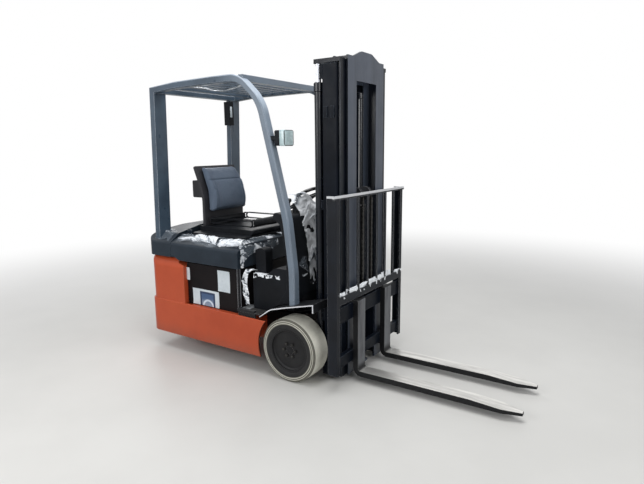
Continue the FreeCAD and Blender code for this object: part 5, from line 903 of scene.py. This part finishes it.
roof_rows = [[(x, y, z), (x + 4, y + 18, z + lift), (x + 8, y + 34, z + 2)] for x, y, z, lift in (
    (-960, -404, 2024, 4), (-885, -402, 2012, 8), (-815, -398, 2004, 6), (-745, -398, 1984, 4),
    (-665, -398, 1974, 3), (-590, -400, 1978, 3), (-515, -404, 1990, 3), (-450, -406, 2004, 3))]
hang("roof_film", roof_rows, (150, 14), 71, 0.006, "chassis", size=6.0, bias=0.12)
lamp_low, lamp_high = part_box("head_lamps")
lamp_middle = (lamp_low.z + lamp_high.z) / 2
points, faces = rounded_block((0.0235, 0.0512, 0.0512), 0.010, 5)
for side, word in ((-1, "right"), (1, "left")):
    lens = (points + (lamp_high.x - 0.0220, side * LAMP_SIDE, lamp_middle), faces)
    piece("lamp_lens_" + word, [lens], lens_finish, "chassis")
box_low, box_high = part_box("pillar_box")
points, faces = rounded_block((0.0008, 0.0125, 0.046), 0.0007, 3)
card = (points + (box_high.x + 0.0007, (box_low.y + box_high.y) / 2 - 0.004, CARD_HEIGHT), faces)
piece("pillar_box_card", [card], card_finish("pillar_box_card_finish", False), "chassis")

# Mast, cylinders and chains
# Three nested pairs of black rails with rubbed edges, the inner pair's front faces and edges painted lighter
# as highlights, ground chrome rods, and oiled leaf chains left on no body. Film is caught on the backrest's
# lower bar.
MAST, MAST_DARK, MAST_EDGE = (0.0050, 0.0072, 0.0120), (0.0028, 0.0040, 0.0068), (0.13, 0.155, 0.195)
# REST_HIGHLIGHT_FROM is the height above which the backrest is painted pale as a highlight.
REST_HIGHLIGHT_FROM, BAR_BACK, BAR_FRONT, BAR_TOP = 1.2705, 331.3, 343.8, 640
dress(speckled("mast_enamel", MAST, MAST_DARK, 0.36, 260, 0.0003, MAST_EDGE, 0.003, specular=0.07),
      "mast_outer", "carriage_frame")
dress(speckled("middle_rail_enamel", MAST, MAST_DARK, 0.33, 260, 0.0003, MAST_EDGE, 0.003), "mast_middle")
rail = new_finish("inner_rail_enamel")
# Painted highlight: the inner rail's forward faces are lighter in streaks, and its sharp edges are turned
# pale.
rail_streaks = rail.noise(16, 5.0, 0.65, rail.spot(scale=(1, 1, 0.06)))
rail_front_highlight = rail.facing("X", 0.75, 0.95) * rail.between(rail_streaks, 0.28, 0.66, (0.55, 1.0))
rail_shade = rail.mixed(rail_front_highlight, MAST, (0.060, 0.073, 0.100))
dress(rail.surface(rail.mixed(rail.edges(0.003) * 0.7, rail_shade, MAST_EDGE),
                          rail.clouds(11, 0.25, 0.75, (0.28, 0.42)), 0.3,
                          Normal=rail.grain(260, 0.0003)), "mast_inner")
rest = new_finish("backrest_enamel")
# Painted highlight: the top face of the backrest's top bar and its sharp edges are painted pale grey.
rest_top_highlight = rest.between(rest.along("Z"), REST_HIGHLIGHT_FROM, REST_HIGHLIGHT_FROM + 0.002)
rest_top_highlight = rest_top_highlight * rest.clouds(12, 0.22, 0.40, (0.65, 1.0))
rest_highlight = rest_top_highlight.maths("MAXIMUM", rest_top_highlight, rest.edges(0.004) * 0.55)
rest_shade = rest.mixed(rest.clouds(6, 0.35, 0.68), MAST, MAST_DARK)
dress(rest.surface(rest.mixed(rest_highlight, rest_shade, (0.60, 0.61, 0.63)),
                          rest.between(rest_highlight, 0.0, 1.0, (0.44, 0.36)),
                          Normal=rest.grain(260, 0.0003)), "load_backrest")
for name, start, end, high, seed in (
        ("rest_wad_first", -456, -366, 32, 61), ("rest_wad_second", -352, -184, 40, 62),
        ("rest_wad_third", -178, -60, 36, 63), ("rest_wad_fourth", -52, 132, 42, 64),
        ("rest_wad_fifth", 142, 286, 52, 65), ("rest_wad_sixth", 365, 478, 24, 66)):
    rows = [[(BAR_BACK - 4, y, BAR_TOP - 20), (BAR_BACK - 6, y, BAR_TOP + high * 0.6),
             ((BAR_BACK + BAR_FRONT) / 2, y, BAR_TOP + high), (BAR_FRONT + 6, y, BAR_TOP + high * 0.6),
             (BAR_FRONT + 4, y, BAR_TOP - 22)] for y in np.linspace(start, end, 4)]
    hang(name, rows, (int((end - start) / 3.51), 34), seed, 0.015, "carriage",
         size=6.0, bias=0.42)
dress(speckled("cylinder_enamel", MAST, MAST_DARK, 0.28, 400, 0.0001, specular=0.3, coat=0.1),
      "lift_cylinders", "free_lift_cylinder", "tilt_barrels")
dress(speckled("ground_chrome", (0.40, 0.41, 0.44), (0.30, 0.31, 0.34), 0.22, 500, 0.00005, metallic=1.0),
      "lift_rods", "tilt_rods")
dress(speckled("sheave_casting", (0.030, 0.032, 0.037), (0.016, 0.017, 0.020), 0.42, 220, 0.0003,
               (0.20, 0.20, 0.21), 0.002), "free_lift_head")
chain_finish = speckled("oiled_chain", (0.085, 0.083, 0.080), (0.045, 0.043, 0.040), 0.36, 300, 0.0003,
                        metallic=0.85)
chain_low, chain_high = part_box("lift_chain_front")
for node, name, end_body, start, end in (
        ("lift_chain_front", "front_chain_run", "carriage", 2 * chain_high.z - chain_low.z, chain_low.z),
        ("lift_chain_rear", "rear_chain_run", "free_head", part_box("lift_chain_rear")[0].z, chain_high.z)):
    source = frame["nodes"][node].data
    points = np.array([corner.co for corner in source.vertices])
    faces = np.array([face.vertices for face in source.polygons])
    run = piece(name, [(points, faces)], chain_finish, None, (node,))
    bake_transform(run)

# Forks
# Forged steel painted black, worn bright on top of the blades by loads, with the fronts of the shanks
# painted grey in streaks and the sharp edges paler, as highlights.
fork = new_finish("fork_steel_worn")
fork_drag = fork.between(fork.noise(14, 5.0, 0.7, fork.spot(scale=(0.10, 1, 1))), 0.36, 0.58)
fork_bare = fork.facing("Z", 0.75, 0.95) * (fork_drag * 0.35 + 0.65)
fork_bare = fork_bare * fork.between(fork.along("X"), 0.372, 0.400)
fork_streaks = fork.noise(22, 5.0, 0.7, fork.spot(scale=(1, 1, 0.12)))
# Painted highlight: the forward faces of the shanks are lighter grey in streaks.
fork_front_highlight = fork.facing("X", 0.75, 0.95) * fork.between(fork_streaks, 0.30, 0.62, (0.35, 1.0))
fork_front_highlight = fork_front_highlight * fork.between(fork.along("Z"), 0.09, 0.14)
# Bright steel on the worn blade tops, and as a painted highlight along the sharp edges.
fork_wear_and_highlight = fork_bare.maths("MAXIMUM", fork_bare, fork.edges(0.003) * 0.25)
fork_shade = fork.mixed(fork_front_highlight, (0.0080, 0.0085, 0.0095), (0.130, 0.135, 0.145))
fork_normal = fork.bumped(fork.noise(180, 3.0), 0.0004, fork.rounded(0.003))
dress(fork.surface(fork.mixed(fork_wear_and_highlight, fork_shade, (0.74, 0.73, 0.70)),
                         fork.between(fork_wear_and_highlight, 0.0, 1.0, (0.48, 0.30)), Metallic=fork_wear_and_highlight * 0.8,
                         Normal=fork_normal), "fork_right", "fork_left")
